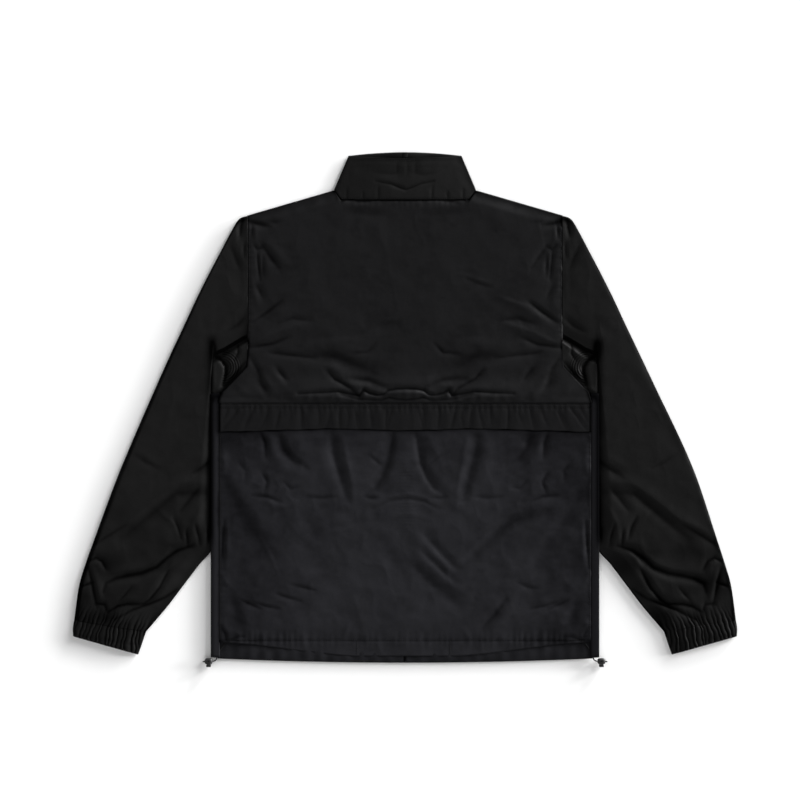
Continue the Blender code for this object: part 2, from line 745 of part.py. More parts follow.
def build_cord_lock(name, side, plastic):
    """Rounded block on the cord, which runs through its hole."""
    outer = []
    inner = []
    for along, share in ((-1.0, 0.78), (-0.8, 0.95), (-0.4, 1.0), (0.4, 1.0), (0.8, 0.95), (1.0, 0.78)):
        x = side * (LOCK_CENTRE[0] + along * LOCK_HALF[0])
        shell = rounded_ring(share * LOCK_HALF[1], share * LOCK_HALF[2], LOCK_SIDES)
        bore = []
        for index in range(LOCK_SIDES):
            turn = 2.0 * math.pi * index / LOCK_SIDES
            bore.append((LOCK_HOLE * math.cos(turn), LOCK_HOLE * math.sin(turn)))
        for ring, stack in ((shell, outer), (bore, inner)):
            stack.append([Vector((x, LOCK_CENTRE[1] + a, LOCK_CENTRE[2] + b)) for a, b in ring])
    tube_between(name, outer, inner, plastic)


def build_lock_button(name, side, plastic):
    """Push button at the lower end of a lock."""
    start = LOCK_CENTRE[1] - LOCK_HALF[1] - SEAM
    rings = []
    for along, share in ((0.0, 1.0), (0.75, 1.0), (1.0, 0.8)):
        y = start - along * BUTTON_LENGTH
        ring = rounded_ring(share * BUTTON_HALF[0], share * BUTTON_HALF[1], LOCK_SIDES)
        rings.append([Vector((side * LOCK_CENTRE[0] + a, y, LOCK_CENTRE[2] + b)) for a, b in ring])
    points = [point for ring in rings for point in ring]
    last = (len(rings) - 1) * LOCK_SIDES
    faces = [tuple(range(LOCK_SIDES)), tuple(range(last + LOCK_SIDES - 1, last - 1, -1))]
    for ring in range(len(rings) - 1):
        for index in range(LOCK_SIDES):
            here = ring * LOCK_SIDES + index
            there = ring * LOCK_SIDES + (index + 1) % LOCK_SIDES
            faces.append((here, there, there + LOCK_SIDES, here + LOCK_SIDES))
    build_mesh(name, points, faces, plastic)


def smooth_route(points, step):
    """Points at about one step along a smooth curve through the route's own points."""
    held = [points[0], *points, points[-1]]
    route = []
    for before, start, end, after in zip(held, held[1:], held[2:], held[3:]):
        pieces = max(1, round((end - start).length / step))
        for piece in range(pieces):
            t = piece / pieces
            bend = (2.0 * start + (end - before) * t
                    + (2.0 * before - 5.0 * start + 4.0 * end - after) * t * t
                    + (3.0 * start - before - 3.0 * end + after) * t ** 3)
            route.append(bend / 2.0)
    route.append(points[-1])
    return route


def build_cord(name, side, elastic):
    points = [Vector((side * x, y, z)) for x, y, z in CORD_ROUTE]
    curve = bpy.data.curves.new(name, "CURVE")
    curve.dimensions = "3D"
    curve.bevel_depth = CORD_DIAMETER / 2.0 * MM
    curve.bevel_resolution = 2
    curve.use_fill_caps = True
    curve.materials.append(elastic)
    route = smooth_route(points, CORD_STEP)
    spline = curve.splines.new("POLY")
    spline.points.add(len(route) - 1)
    for knot, place in zip(spline.points, route):
        knot.co = (*(place * MM), 1.0)
    bpy.context.collection.objects.link(bpy.data.objects.new(name, curve))


def main():
    clear_scene()
    cloth = make_material("black woven nylon", (0.012, 0.012, 0.013), 0.62)
    gathered = make_material("black gathered nylon", (0.010, 0.010, 0.011), 0.66)
    chain = make_material("black coil zip", (0.010, 0.010, 0.011), 0.45)
    metal = make_material("black painted zinc", (0.014, 0.014, 0.015), 0.35, 0.6)
    plastic = make_material("black acetal", (0.010, 0.010, 0.011), 0.4)
    elastic = make_material("black elastic cord", (0.012, 0.012, 0.013), 0.7)
    build_back_upper(cloth)
    build_back_lower(cloth)
    build_flap(cloth)
    build_collar_back(cloth)
    cuff_points = CUFF_GATHERS * GATHER_POINTS
    cuff_shares = tuple(step / cuff_points for step in range(cuff_points + 1))
    for name, side in SIDES.items():
        build_front("front_" + name, side, cloth)
        build_gusset("gusset_" + name, side, cloth)
        build_tube("sleeve_" + name, side, SLEEVE_STATIONS, TUBE_TOP_SHARES, sleeve_swell, cloth)
        build_tube("cuff_" + name, side, CUFF_STATIONS, cuff_shares, gather_swell, gathered)
        build_collar_front("collar_front_" + name, side, cloth)
        build_cord_lock("cord_lock_" + name, side, plastic)
        build_lock_button("lock_button_" + name, side, plastic)
        build_cord("hem_cord_" + name, side, elastic)
    build_zip_chain(chain)
    build_slider(metal)
    build_pull_tab(metal)


main()
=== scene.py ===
"""Windbreaker laid out face down, as it looks: creased nylon shells, stitching, zip, hem cords and stage.

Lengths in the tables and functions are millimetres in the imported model's frame, where X runs across the
back, Y up to the collar and Z up from the surface. Meshes are made in metres.
"""

import math
from collections import namedtuple

import bpy
import numpy as np
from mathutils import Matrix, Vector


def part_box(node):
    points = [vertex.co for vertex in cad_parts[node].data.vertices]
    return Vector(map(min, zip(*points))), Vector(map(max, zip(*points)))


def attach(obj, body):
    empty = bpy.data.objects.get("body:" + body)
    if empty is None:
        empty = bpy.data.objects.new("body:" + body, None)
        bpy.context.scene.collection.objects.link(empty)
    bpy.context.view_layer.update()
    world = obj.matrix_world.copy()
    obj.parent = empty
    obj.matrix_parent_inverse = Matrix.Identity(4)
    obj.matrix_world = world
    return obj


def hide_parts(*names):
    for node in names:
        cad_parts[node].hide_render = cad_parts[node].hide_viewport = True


bl_info = {
    "name": "Laid-out windbreaker",
    "version": (1, 0, 0),
    "blender": (4, 5, 0),
    "location": "3D View > Sidebar > Windbreaker",
    "description": "Sews the cloth, zip and cords of a windbreaker onto its packed model",
    "category": "Object",
}

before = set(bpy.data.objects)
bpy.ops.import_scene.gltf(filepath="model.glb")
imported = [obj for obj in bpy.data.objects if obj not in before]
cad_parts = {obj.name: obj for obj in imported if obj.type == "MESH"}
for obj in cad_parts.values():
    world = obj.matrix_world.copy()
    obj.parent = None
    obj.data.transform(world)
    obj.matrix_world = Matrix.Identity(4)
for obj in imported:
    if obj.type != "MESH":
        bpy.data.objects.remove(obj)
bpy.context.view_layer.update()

MM = 0.001
GARMENT = "garment"
PULL_TAB = "pull_tab"
SIDES = {"left": -1, "right": 1}

# Cut of the body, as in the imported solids
BODY_HALF = 291.0
SIDE_SEAM_X = 279.0
SHOULDER = (235.5, 287.0)
NECK = (106.5, 324.7)
COLLAR_SEAM_X = 96.0
COLLAR_SEAM_Y = 309.6
WAIST_SEAM_Y = 7.5
FLAP_TOP_Y = 7.2
FLAP_HALF = 278.6
HEM_CENTRE_Y = -381.75
HEM_SIDE_Y = -375.0
BACK_HEM_CENTRE_Y = -373.5
BACK_HEM_SIDE_Y = -352.0
BACK_HEM_FLAT_HALF = 77.0
CASING_STITCH_Y = -348.75
SEAM = 0.3
LAP = 1.6

# Heights of the layers
BACK_LOFT = 5.6
BACK_CROWN = 0.8
EDGE_LOFT = 2.4
EDGE_FALL = 20.0
ROLL_LIFT = 3.4
ROLL_DEPTH = 24.0
CASING_LIFT = 0.3
HEM_FALL = 2.8
FLAP_STAND = 1.3
FLAP_STITCH_ROWS = (4.4, -1.4)
COLLAR_LOFT = 6.9
COLLAR_TOP_HALF = 84.5
COLLAR_TOP_SIDE_Y = 376.5
COLLAR_BACK_DIP = 3.8
COLLAR_FRONT_RISE = 5.25
NECK_FRONT_Y = 285.0
NECK_BEND = (54.0, 296.0)
ZIP_EDGE = 3.5
ZIP_LIFT = 2.9
ZIP_LIFT_HALF = 34.0
ZIP_LIFT_START_Y = 318.0
ZIP_LIFT_RUN = 18.0
SLIDER_TOP_Y = 373.2

# Pitch, length and thickness of a stitch, and of a tooth of the zip
STITCH = (3.4, 2.7, 0.55)
TOOTH = (2.8, 3.0, 0.74)
STITCH_INSET = 2.2
TAPE_WALL = 0.35
TAPE_COLUMNS = np.array([-7.0, -5.0, -3.0, -1.5, 0.0, 1.5, 3.0, 5.0, 7.0])
TAPE_END_COLUMNS = TAPE_COLUMNS[2:-2]
TAPE_TOP_Y = 358.0
TEETH_TOP_Y = 368.0
LUG_Y = 363.0
LOCK_BORE_RADIUS = 1.35
LOCK_RECESS_RADIUS = 1.5
CASING_BARS = (-266.0, -262.0, 262.0, 266.0, -72.0, 68.0)

RIDGE_SHARE = 0.45
# Painted shade from an attribute of each cloth piece: how fast it builds up in the troughs, and the share of
# the cloth's colour left where it is darkest
PAINTED_SHADE_SCALE = 1.5
PAINTED_SHADE_TONE = 0.14

Crease = namedtuple("Crease", "path width depth sharp lean", defaults=(0.0,))


def crease_rows(*rows):
    """Creases from rows of a path (x, y, x, y and so on), half width, height, sharpness and lean."""
    return tuple(Crease(tuple(zip(path[::2], path[1::2])), *rest) for path, *rest in rows)


def turned_over(creases):
    """The same creases on the other half."""
    turned = []
    for crease in creases:
        path = tuple((-x, y) for x, y in crease.path)
        turned.append(crease._replace(path=path, lean=-crease.lean))
    return tuple(turned)


# Creases that both halves of the upper back have, on the left
UPPER_PAIRED = crease_rows(
    ((-231.7, 89.7, -198, 95, -176, 104), 4.5, -2.2, 0.3, 0.2),
    ((-226, 95, -190, 113, -160, 122, -147, 128), 6.0, 2.6, 0.3, 0.4),
    ((-190, 126, -168, 133, -141, 129), 5.0, -1.5, 0.2, 0.2),
    ((-227, 128, -204, 144, -186, 158), 4.5, -2.2, 0.3, 0.2),
    ((-218, 122, -198, 137, -178, 146), 6.0, 1.5, 0.2, 0.2),
    ((-204, 82, -152, 76, -135, 74), 4.5, -1.8, 0.3, 0.2),
    ((-134, 76, -108, 76, -80, 65.5, -52, 54), 9.0, -2.5, 0.1, 0.3),
    ((-150, 91, -108, 93, -72, 83, -42, 68), 9.0, 1.7, 0.1),
    ((-150, 60, -112, 61, -84, 50), 9.0, 1.7, 0.1),
    ((-80, 80, -57, 82, -44, 95), 3.5, -1.2, 0.3, 0.3),
    ((-122, 98, -88, 100, -62, 98), 5.0, 1.1, 0.2, 0.3),
    ((-116, 55, -105, 42, -80, 28, -69, 16), 4.0, -2.2, 0.3, 0.3),
    ((-106, 56, -92, 44, -70, 34), 6.0, 1.7, 0.2),
    ((-88, 43, -55, 40, -28, 29), 6.0, -1.9, 0.2, 0.3),
    ((-84, 34, -58, 31, -40, 26), 5.0, 1.5, 0.2),
    ((-192, 59, -177, 40), 4.5, -1.8, 0.3, 0.3),
    ((-202, 58, -188, 40, -178, 28), 6.0, 1.4, 0.2),
    ((-221, 43, -206, 21), 7.0, -2.0, 0.2, 0.2),
    ((-231, 74, -221, 57, -214, 40), 5.0, -1.6, 0.2),
    ((-226, 64, -212, 46, -196, 24), 6.0, 1.7, 0.2),
    ((-250, 34, -240, 22, -230, 15), 6.0, 1.3, 0.2),
    ((-235, 279, -222, 275, -207, 272), 5.0, -2.8, 0.2, 0.2),
    ((-206, 279, -190, 276), 5.0, -1.0, 0.2),
    ((-229, 274, -229, 254), 3.0, -1.7, 0.3),
    ((-225, 268, -224, 250), 3.5, 1.3, 0.2),
    ((-221, 231, -219, 210, -217, 190), 3.0, -1.9, 0.3),
    ((-213, 226, -212, 196), 3.5, -1.4, 0.3),
    ((-217, 228, -215.5, 192), 3.0, 1.3, 0.2),
    ((-214, 243, -200, 224, -189, 208), 5.5, -1.8, 0.2, 0.3),
    ((-204, 247, -188, 228, -176, 213), 6.5, 1.3, 0.2),
    ((-227, 244, -221, 236, -212, 240), 3.5, -1.3, 0.3),
    ((-230, 200, -227, 176, -220, 152), 5.0, 1.2, 0.2),
    ((-222, 182, -213, 164), 4.5, -1.2, 0.2),
    ((-80, 306.5, -66, 308, -52, 308.6), 3.0, -1.4, 0.3),
    ((-80, 301, -52, 300, -24, 297), 5.5, 1.3, 0.2, 0.2),
    ((-90, 293, -60, 290, -30, 288), 8.0, -0.9, 0.1),
    ((-40, 280, -36, 262, -42, 240), 12.0, 0.5, 0.0),
    ((-170, 262, -150, 240, -142, 214), 14.0, 0.6, 0.0),
)

# Creases that only one half of the upper back has
UPPER_SINGLE = crease_rows(
    ((86, 199, 108, 190, 130, 185), 4.0, 1.6, 0.3, 0.4),
    ((92, 193, 112, 184, 128, 180), 4.0, -0.9, 0.2),
    ((141, 165, 160, 158, 185, 150), 4.0, 1.8, 0.3, 0.4),
    ((180, 128, 190, 118, 206, 112), 5.0, 1.2, 0.3),
    ((-178, 168, -150, 160, -128, 164), 6.0, 0.9, 0.2),
    ((-186, 196, -160, 188, -140, 192), 7.0, 0.7, 0.2),
    ((-20, 122, 30, 114, 80, 120), 16.0, 0.7, 0.0),
    ((-70, 118, -30, 126, 10, 120), 13.0, -0.6, 0.0),
)

UPPER_CREASES = UPPER_PAIRED + turned_over(UPPER_PAIRED) + UPPER_SINGLE

# Cloth that blouses over the waist seam: its upper line, its lower line, the roll between, the slope above
ROLL_CREASES = crease_rows(
    ((-160, 20, -133, 21.3, -101, 23.4, -85, 20, -68, 17, -62, 25.5, -54, 21, -42, 18, -32, 19, -26, 24.5,
      -14, 27, 2, 27.6, 17, 27, 29, 24.5, 35, 19, 45, 18, 57, 21, 65, 25.5, 70, 17, 87, 20, 104, 23.4,
      135, 21.5, 162, 20), 2.8, -3.0, 0.2),
    ((-98, 19, -70, 12, -36, 10, -24, 14.5, -14, 12, 2, 10.5, 16, 12, 27, 14.5, 39, 10, 72, 12, 100, 19
      ), 2.6, -2.2, 0.2),
    ((-36, 20.5, -18, 21, 1, 21, 20, 21, 39, 20.5), 4.5, 2.8, 0.1),
    ((-150, 29, -110, 31, -70, 31, -30, 36, 2, 37, 34, 36, 74, 31, 114, 31, 154, 29), 8.0, 2.2, 0.1, -0.3),
    ((-146, 14, -116, 15, -88, 13), 3.5, 1.6, 0.2),
    ((92, 13, 120, 15, 150, 14), 3.5, 1.6, 0.2),
)

# Gathers of the cloth that blouses over the waist seam: place, lean to the top, half width and height
ROLL_PUCKERS = (
    (-212, -6, 7.0, 0.8), (-188, 4, 6.0, 1.0), (-164, -8, 8.0, 0.9), (-146, 5, 5.0, 1.1),
    (-128, -7, 6.0, 1.2), (-111, 4, 5.0, 1.0), (-96, -9, 6.0, 1.3), (-78, 6, 5.0, 1.1), (-60, -6, 6.0, 1.4),
    (-44, 5, 5.0, 1.1), (-28, -3, 5.0, 1.3), (-13, 2, 5.0, 1.0), (2, 0, 6.0, 1.5), (17, -2, 5.0, 1.0),
    (31, 4, 5.0, 1.3), (46, -5, 5.0, 1.1), (63, 6, 6.0, 1.4), (80, -6, 5.0, 1.1), (98, 8, 6.0, 1.3),
    (114, -4, 5.0, 1.0), (131, 7, 6.0, 1.2), (150, -5, 6.0, 1.0), (170, 7, 8.0, 0.9), (194, -4, 7.0, 1.0),
    (218, 6, 7.0, 0.8),
)

# Lines that the flap over the waist seam is puckered along, on the left
FLAP_PAIRED = crease_rows(
    ((-244, 3, -258, -16, -273, -36), 3.4, -1.9, 0.2, 0.3),
    ((-262, 1, -267, -10, -273, -22), 3.0, -1.2, 0.2, 0.2),
    ((-223, 2, -232, -14, -241, -32), 3.4, -1.6, 0.2, 0.3),
    ((-204, 2, -207, -14, -214, -28), 3.2, -1.2, 0.2),
    ((-186, 2, -189, -14, -194, -34), 3.0, -1.4, 0.2, 0.2),
    ((-171, 1, -170, -10, -174, -22), 3.0, -0.9, 0.2),
    ((-155, 3, -154, -16, -153, -36), 2.8, -1.8, 0.2, 0.2),
    ((-129, 3, -128, -10, -129, -24), 3.0, -1.2, 0.2),
    ((-119, -36, -114, -20, -110, -4), 3.0, -1.2, 0.2),
    ((-99, 3, -98, -14, -97, -34), 3.0, -1.7, 0.2, 0.2),
    ((-88, 2, -84, -14, -87, -30), 3.0, -1.1, 0.2),
    ((-77, 3, -73, -16, -69, -36), 3.0, -1.6, 0.2, -0.2),
    ((-50.7, 3, -51, -14, -49, -32), 3.0, -1.3, 0.2),
    ((-27.6, 3, -28, -16, -27, -36), 2.8, -1.6, 0.2),
    ((-18, 2, -22, -12, -26, -26), 2.8, -1.0, 0.2),
)
FLAP_CREASES = FLAP_PAIRED + turned_over(FLAP_PAIRED)

# Soft swellings between those lines: place, lean to the bottom, half width and height
FLAP_PUCKERS = (
    (-234, -16, 8.0, 1.1), (-195, -6, 8.0, 1.0), (-163, -2, 7.0, 0.9), (-141, 1, 9.0, 1.1),
    (-106, 2, 7.0, 1.0), (-62, 4, 8.0, 1.1), (-38, 2, 7.0, 0.9), (-4, 0, 10.0, 0.9), (12, 3, 7.0, 0.8),
    (40, -2, 7.0, 1.0), (65, -4, 8.0, 1.1), (108, -2, 7.0, 1.0), (144, -1, 9.0, 1.1), (166, 2, 7.0, 0.9),
    (198, 6, 8.0, 1.0), (237, 16, 8.0, 1.1),
)

# Creases that both halves of the lower back have, on the left
LOWER_PAIRED = crease_rows(
    ((-276, -105, -254, -146, -231, -183, -213, -208, -199, -227), 13.0, -1.3, 0.1, 0.3),
    ((-258, -108, -236, -148, -210, -186, -194, -212), 12.0, 1.4, 0.1),
    ((-190, -36, -181, -64, -167, -80, -154, -86), 8.0, -2.6, 0.1, 0.3),
    ((-204, -38, -197, -66, -184, -88), 8.0, 1.6, 0.1),
    ((-216, -36, -209, -54, -208, -76), 5.0, -1.7, 0.2),
    ((-164, -38, -156, -58, -140, -70), 9.0, 1.4, 0.1),
    ((-108, -36, -107, -68, -98, -98, -86, -138), 8.5, -2.8, 0.1, -0.2),
    ((-95, -38, -88, -74, -79, -120, -79, -150), 6.0, 2.0, 0.2, 0.2),
    ((-127, -38, -125, -74, -112, -110), 9.0, 1.6, 0.1),
    ((-17, -38, -24, -84, -34, -107, -45, -123, -58, -129), 7.0, -2.5, 0.1, 0.3),
    ((-32, -38, -46, -66, -57, -94), 7.0, 1.6, 0.1),
    ((-62, -134, -52, -136, -40, -136), 3.5, -1.2, 0.3, 0.3),
    ((-146, -134, -124, -136, -105, -134), 4.0, -1.2, 0.3, 0.3),
    ((-54, -72, -36, -87), 3.0, -0.9, 0.3),
    ((-232, -112, -214, -118, -203, -112), 3.5, 1.1, 0.3),
    ((-214, -98, -206, -112, -211, -128), 3.5, -1.2, 0.3),
    ((-196, -104, -188, -120, -193, -133), 3.5, 1.1, 0.3),
    ((-181, -112, -172, -122, -159, -120), 3.5, -1.1, 0.3),
    ((-228, -132, -206, -134, -188, -142), 4.0, -1.4, 0.3, 0.3),
    ((-177, -131, -168, -142, -155, -140), 3.5, 1.1, 0.3),
    ((-205, -143, -180, -149, -158, -146), 4.0, 1.1, 0.3),
    ((-248, -84, -238, -96, -240, -112), 5.0, -1.1, 0.2),
    ((-245, -289, -230, -296, -214, -303), 3.5, -1.3, 0.3, 0.4),
    ((-227, -292, -208, -298, -188, -302), 3.5, -1.3, 0.3, 0.4),
    ((-261, -277, -254, -305, -247, -334), 9.0, -1.1, 0.1),
    ((-245, -300, -236, -316, -232, -336), 8.0, 1.3, 0.1),
    ((-271, -170, -273, -205, -276, -242), 3.5, -1.8, 0.3),
    ((-266, -172, -266, -206, -267, -240), 3.5, 1.4, 0.2),
    ((-274, -252, -268, -263, -260, -268), 4.0, 1.4, 0.2),
    ((-272, -60, -270, -84, -273, -104), 4.0, 1.2, 0.2),
    ((-270, -318, -272, -334, -264, -344), 4.0, 1.4, 0.3),
    ((-275, -330, -269, -340, -268, -348), 3.0, -1.2, 0.2),
    ((-266, -350, -250, -344, -238, -344), 3.0, -1.4, 0.2),
    ((-130, -180, -96, -196, -58, -192), 14.0, 1.0, 0.0),
    ((-150, -206, -138, -232, -112, -246), 13.0, -1.0, 0.0),
    ((-164, -160, -142, -176, -132, -200), 11.0, -0.9, 0.1),
)

# Creases that only one half of the lower back has
LOWER_SINGLE = crease_rows(
    ((-214, -200, -204, -218, -190, -248), 4.0, 1.5, 0.3, 0.3),
    ((2, -38, 1, -62, 2, -76), 12.0, 1.2, 0.0),
    ((-44, -147, -24, -135, 2, -130, 27, -135, 46, -147), 3.5, 1.4, 0.2, 0.3),
    ((-50, -153, -26, -141, 2, -136, 29, -141, 52, -153), 3.5, -1.1, 0.2),
    ((-38, -168, 2, -159, 40, -168), 4.0, 0.9, 0.2),
    ((225, -147, 188, -154, 154, -162, 139, -175, 104, -208, 66, -243), 6.0, 2.2, 0.2, 0.5),
    ((214, -158, 160, -172, 130, -198, 74, -252), 8.0, -1.7, 0.1),
    ((16, -190, 40, -214, 63, -242), 9.0, 2.0, 0.0, 0.3),
    ((16, -217, 54, -252, 95, -284), 9.0, 1.9, 0.0, 0.3),
    ((32, -194, 52, -216, 78, -242), 7.0, -1.8, 0.1),
    ((26, -216, 50, -238, 74, -262), 6.0, -1.5, 0.1),
    ((8, -234, 44, -268, 76, -294), 9.0, -1.6, 0.1),
    ((130, -200, 150, -232, 158, -262), 12.0, 1.0, 0.1),
    ((150, -290, 134, -312, 116, -332), 6.0, -1.9, 0.2, 0.3),
    ((162, -292, 148, -314, 134, -330), 6.0, 1.2, 0.2),
    ((-169, -266, -150, -270, -133, -275), 3.5, -1.2, 0.3, 0.4),
    ((-193, -279, -176, -285, -156, -290), 3.5, -1.2, 0.3, 0.4),
    ((168, -262, 184, -270, 200, -272), 3.5, -1.0, 0.3),
    ((-93, -345, -88, -336, -83, -325), 4.0, 1.4, 0.3),
    ((94, -345, 88, -332), 4.0, 1.1, 0.3),
    ((-62, -262, -30, -282, 14, -284), 14.0, 1.0, 0.0),
    ((-90, -292, -56, -306, -14, -310), 12.0, 1.0, 0.0),
    ((40, -306, 70, -318, 106, -320), 11.0, 0.9, 0.0),
    ((-40, -206, -20, -226, 0, -252), 12.0, -1.0, 0.0),
)
LOWER_CREASES = LOWER_PAIRED + turned_over(LOWER_PAIRED) + LOWER_SINGLE

# Creases of a sleeve, given on the right and turned over for the left
SLEEVE_CREASES = crease_rows(
    ((242, 281, 245, 273, 247, 256), 5.0, -2.8, 0.2),
    ((254, 270, 252, 252, 256, 234), 6.0, 1.2, 0.2),
    ((261, 241, 253, 222, 246, 205), 6.0, -1.2, 0.2),
    ((240, 246, 241, 224), 3.5, -1.2, 0.2),
    ((242, 206, 240, 180, 243, 160), 5.0, 1.0, 0.2),
    ((268, 196, 262, 160, 270, 128), 12.0, 0.7, 0.0),
    ((300, 150, 310, 110, 330, 76), 16.0, 0.8, 0.0),
    ((240, 134, 252, 122, 268, 112), 6.0, -1.4, 0.2),
    ((330, 40, 350, 12, 378, -4), 14.0, 0.7, 0.0),
    ((408, -66, 392, -76, 373, -86), 5.0, 1.5, 0.3, 0.4),
    ((402, -72, 388, -82, 370, -92), 5.0, -1.0, 0.2),
    ((292, -81, 306, -92, 321, -101), 6.0, -1.9, 0.2, 0.3),
    ((294, -70, 312, -78, 332, -93), 7.0, 1.5, 0.2),
    ((291, -112, 339, -114, 388, -149, 438, -190), 7.0, 2.6, 0.2, -0.4),
    ((300, -128, 344, -130, 384, -164, 424, -197), 8.0, -2.2, 0.1),
    ((308, -121, 336, -156), 6.0, -1.8, 0.2),
    ((372, -152, 356, -167, 338, -179), 5.0, 1.6, 0.3, 0.3),
    ((302, -146, 316, -172, 320, -196), 6.0, 1.8, 0.2, 0.3),
    ((347, -166, 340, -180, 335, -197), 4.0, -2.0, 0.3, 0.3),
    ((327, -184, 325, -208), 3.5, -1.9, 0.3),
    ((334, -190, 322, -206), 4.0, 1.7, 0.2),
    ((314, -176, 309, -194, 307, -208), 3.5, -1.6, 0.3),
    ((300, -174, 298, -202), 4.0, 1.5, 0.2),
    ((293, -180, 295, -204), 3.5, -1.4, 0.2),
    ((319, -208, 341, -215, 358, -227, 372, -240, 395, -249, 418, -253, 434, -257, 448, -264, 452, -277
      ), 5.5, -3.6, 0.2, 0.3),
    ((330, -201, 352, -206, 362, -226, 384, -239, 414, -245, 446, -247), 6.0, 2.6, 0.2, -0.3),
    ((354, -230, 374, -252, 398, -264, 426, -268, 444, -273), 7.0, 1.2, 0.1),
    ((328, -214, 345, -226, 355, -242), 4.0, 2.0, 0.2, 0.3),
    ((354, -244, 368, -271, 383, -289, 394, -296), 3.6, -2.6, 0.3, 0.3),
    ((364, -246, 378, -268, 392, -286), 5.0, 1.6, 0.2),
    ((341, -273, 361, -286, 383, -295, 408, -304, 434, -318), 3.6, -2.3, 0.3, 0.3),
    ((352, -271, 370, -281, 386, -287), 5.0, 1.4, 0.2),
    ((390, -295, 416, -295, 430, -298, 443, -306), 3.4, -2.3, 0.3, 0.3),
    ((398, -287, 416, -287, 436, -292), 5.0, 1.5, 0.2),
    ((476, -232, 463, -226, 454, -231, 447, -244), 3.6, -2.3, 0.3, 0.3),
    ((467, -236, 459, -236, 454, -248), 4.5, 1.7, 0.2),
    ((474, -240, 468, -264, 465, -282, 461, -299), 3.6, -2.3, 0.3),
    ((466, -244, 461, -266, 455, -288), 5.0, 1.7, 0.2),
    ((488, -270, 477, -266, 467, -263), 3.0, -2.0, 0.3),
    ((484, -262, 474, -258), 4.0, 1.1, 0.2),
    ((465, -295, 450, -295, 446, -306), 3.0, -1.9, 0.3),
    ((410, -270, 418, -280, 428, -291), 3.2, -1.1, 0.3),
    ((417, -176, 440, -190, 467, -207), 5.0, -1.4, 0.2, 0.3),
    ((424, -172, 446, -184, 464, -194), 6.0, 1.2, 0.1),
    ((404, -206, 390, -214, 372, -212), 8.0, 1.2, 0.1),
    ((430, -206, 446, -215, 462, -214), 7.0, 1.2, 0.1),
    ((340, -40, 362, -54, 384, -62), 12.0, 0.8, 0.0),
)

COLLAR_CREASES = crease_rows(
    ((-44, 338, -22, 334, -9, 329, 1, 325.5, 11, 329, 23, 334, 43, 338), 2.2, -1.3, 0.3),
    ((-36, 344, 0, 334, 38, 344), 6.0, 0.8, 0.1),
    ((-46, 352, -24, 349, -6, 351), 4.5, -0.5, 0.2),
    ((8, 352, 28, 348, 48, 351), 4.5, -0.5, 0.2),
    ((-12, 366, -12, 348), 3.2, -0.4, 0.2),
    ((4, 366, 3, 346), 3.2, -0.4, 0.2),
    ((16, 366, 15, 350), 3.2, -0.4, 0.2),
    ((-76, 362, -40, 365, 0, 361, 44, 365, 76, 362), 4.0, 0.7, 0.2),
    ((-87, 310, -87, 328), 2.6, -0.7, 0.3),
    ((-62.5, 310, -62.5, 322), 2.6, -0.7, 0.3),
    ((-40, 310, -40, 329), 2.6, -0.7, 0.3),
    ((40, 310, 41, 329), 2.6, -0.7, 0.3),
    ((64, 310, 63, 323), 2.6, -0.7, 0.3),
    ((87, 310, 87, 328), 2.6, -0.7, 0.3),
    ((-84, 334, -78, 348, -76, 360), 7.0, 0.7, 0.1),
    ((84, 334, 78, 348, 76, 360), 7.0, 0.7, 0.1),
)

# Creases of the side that lies on the surface, which press the cloth up from it
FRONT_CREASES = crease_rows(
    ((60, 120, 120, 70, 200, 50), 9.0, 1.3, 0.3, 0.3),
    ((90, 20, 150, -40, 170, -110), 10.0, 1.2, 0.3),
    ((40, -120, 90, -180, 160, -220), 10.0, 1.3, 0.3, 0.3),
    ((120, -260, 180, -290, 230, -330), 9.0, 1.1, 0.3),
    ((150, 200, 180, 160, 215, 140), 8.0, 1.2, 0.3),
    ((40, 240, 90, 220, 130, 170), 10.0, 1.0, 0.2),
)

# Stations down the right arm: outer edge (x, y), inner edge (x, y) and loft
SLEEVE_STATIONS = (
    (235.8, 286.6, 235.8, 103.5, 5.4),
    (249.5, 281.0, 252.0, 94.0, 5.6),
    (262.5, 259.5, 270.0, 83.5, 5.8),
    (277.5, 231.0, 286.5, 73.5, 6.0),
    (294.0, 199.5, 288.5, 46.5, 6.2),
    (312.0, 163.5, 288.5, 19.5, 6.2),
    (331.5, 121.5, 288.5, -13.5, 6.2),
    (354.0, 73.5, 288.5, -52.5, 6.2),
    (378.0, 19.5, 288.5, -94.5, 6.2),
    (403.5, -39.0, 288.5, -136.5, 6.2),
    (427.5, -96.0, 288.5, -178.5, 6.4),
    (447.0, -147.0, 288.5, -211.5, 6.4),
    (463.5, -192.0, 309.0, -237.0, 6.4),
    (478.5, -234.0, 333.0, -268.5, 6.2),
    (489.0, -270.0, 357.0, -300.0, 6.0),
    (496.0, -320.0, 388.5, -337.0, 5.2),
)
CUFF_STATIONS = (
    (496.0, -319.4, 388.2, -336.4, 5.2),
    (498.0, -332.0, 394.0, -354.0, 5.4),
    (497.5, -343.5, 400.0, -371.0, 5.0),
)
FULLER = 6.0
# A tube's upper face ends this far from its edges, in a rim of points: their heights, and how far in
TUBE_EDGE = 2.5
RIM_HEIGHTS = np.array([2.7, 2.2, 1.5, 0.7, 0.2])
RIM_TUCKS = np.array([0.75, 0.25, 0.0, 0.25, 0.75]) * TUBE_EDGE * 0.6
RIM = len(RIM_HEIGHTS)
# How low the edges of the upper face lie, and over what width they slope
INNER_FALL = (3.0, 24.0)
OUTER_FALL = (5.2, 4.0)
SLEEVE_REST_POINTS = 14
SLEEVE_STEPS = 18
CUFF_STEPS = 10
CUFF_GATHERS = 17
SLEEVE_TOP_POINTS = 104
CUFF_TOP_POINTS = 190
CUFF_REST_POINTS = 120
GATHER_LIFT = 2.2

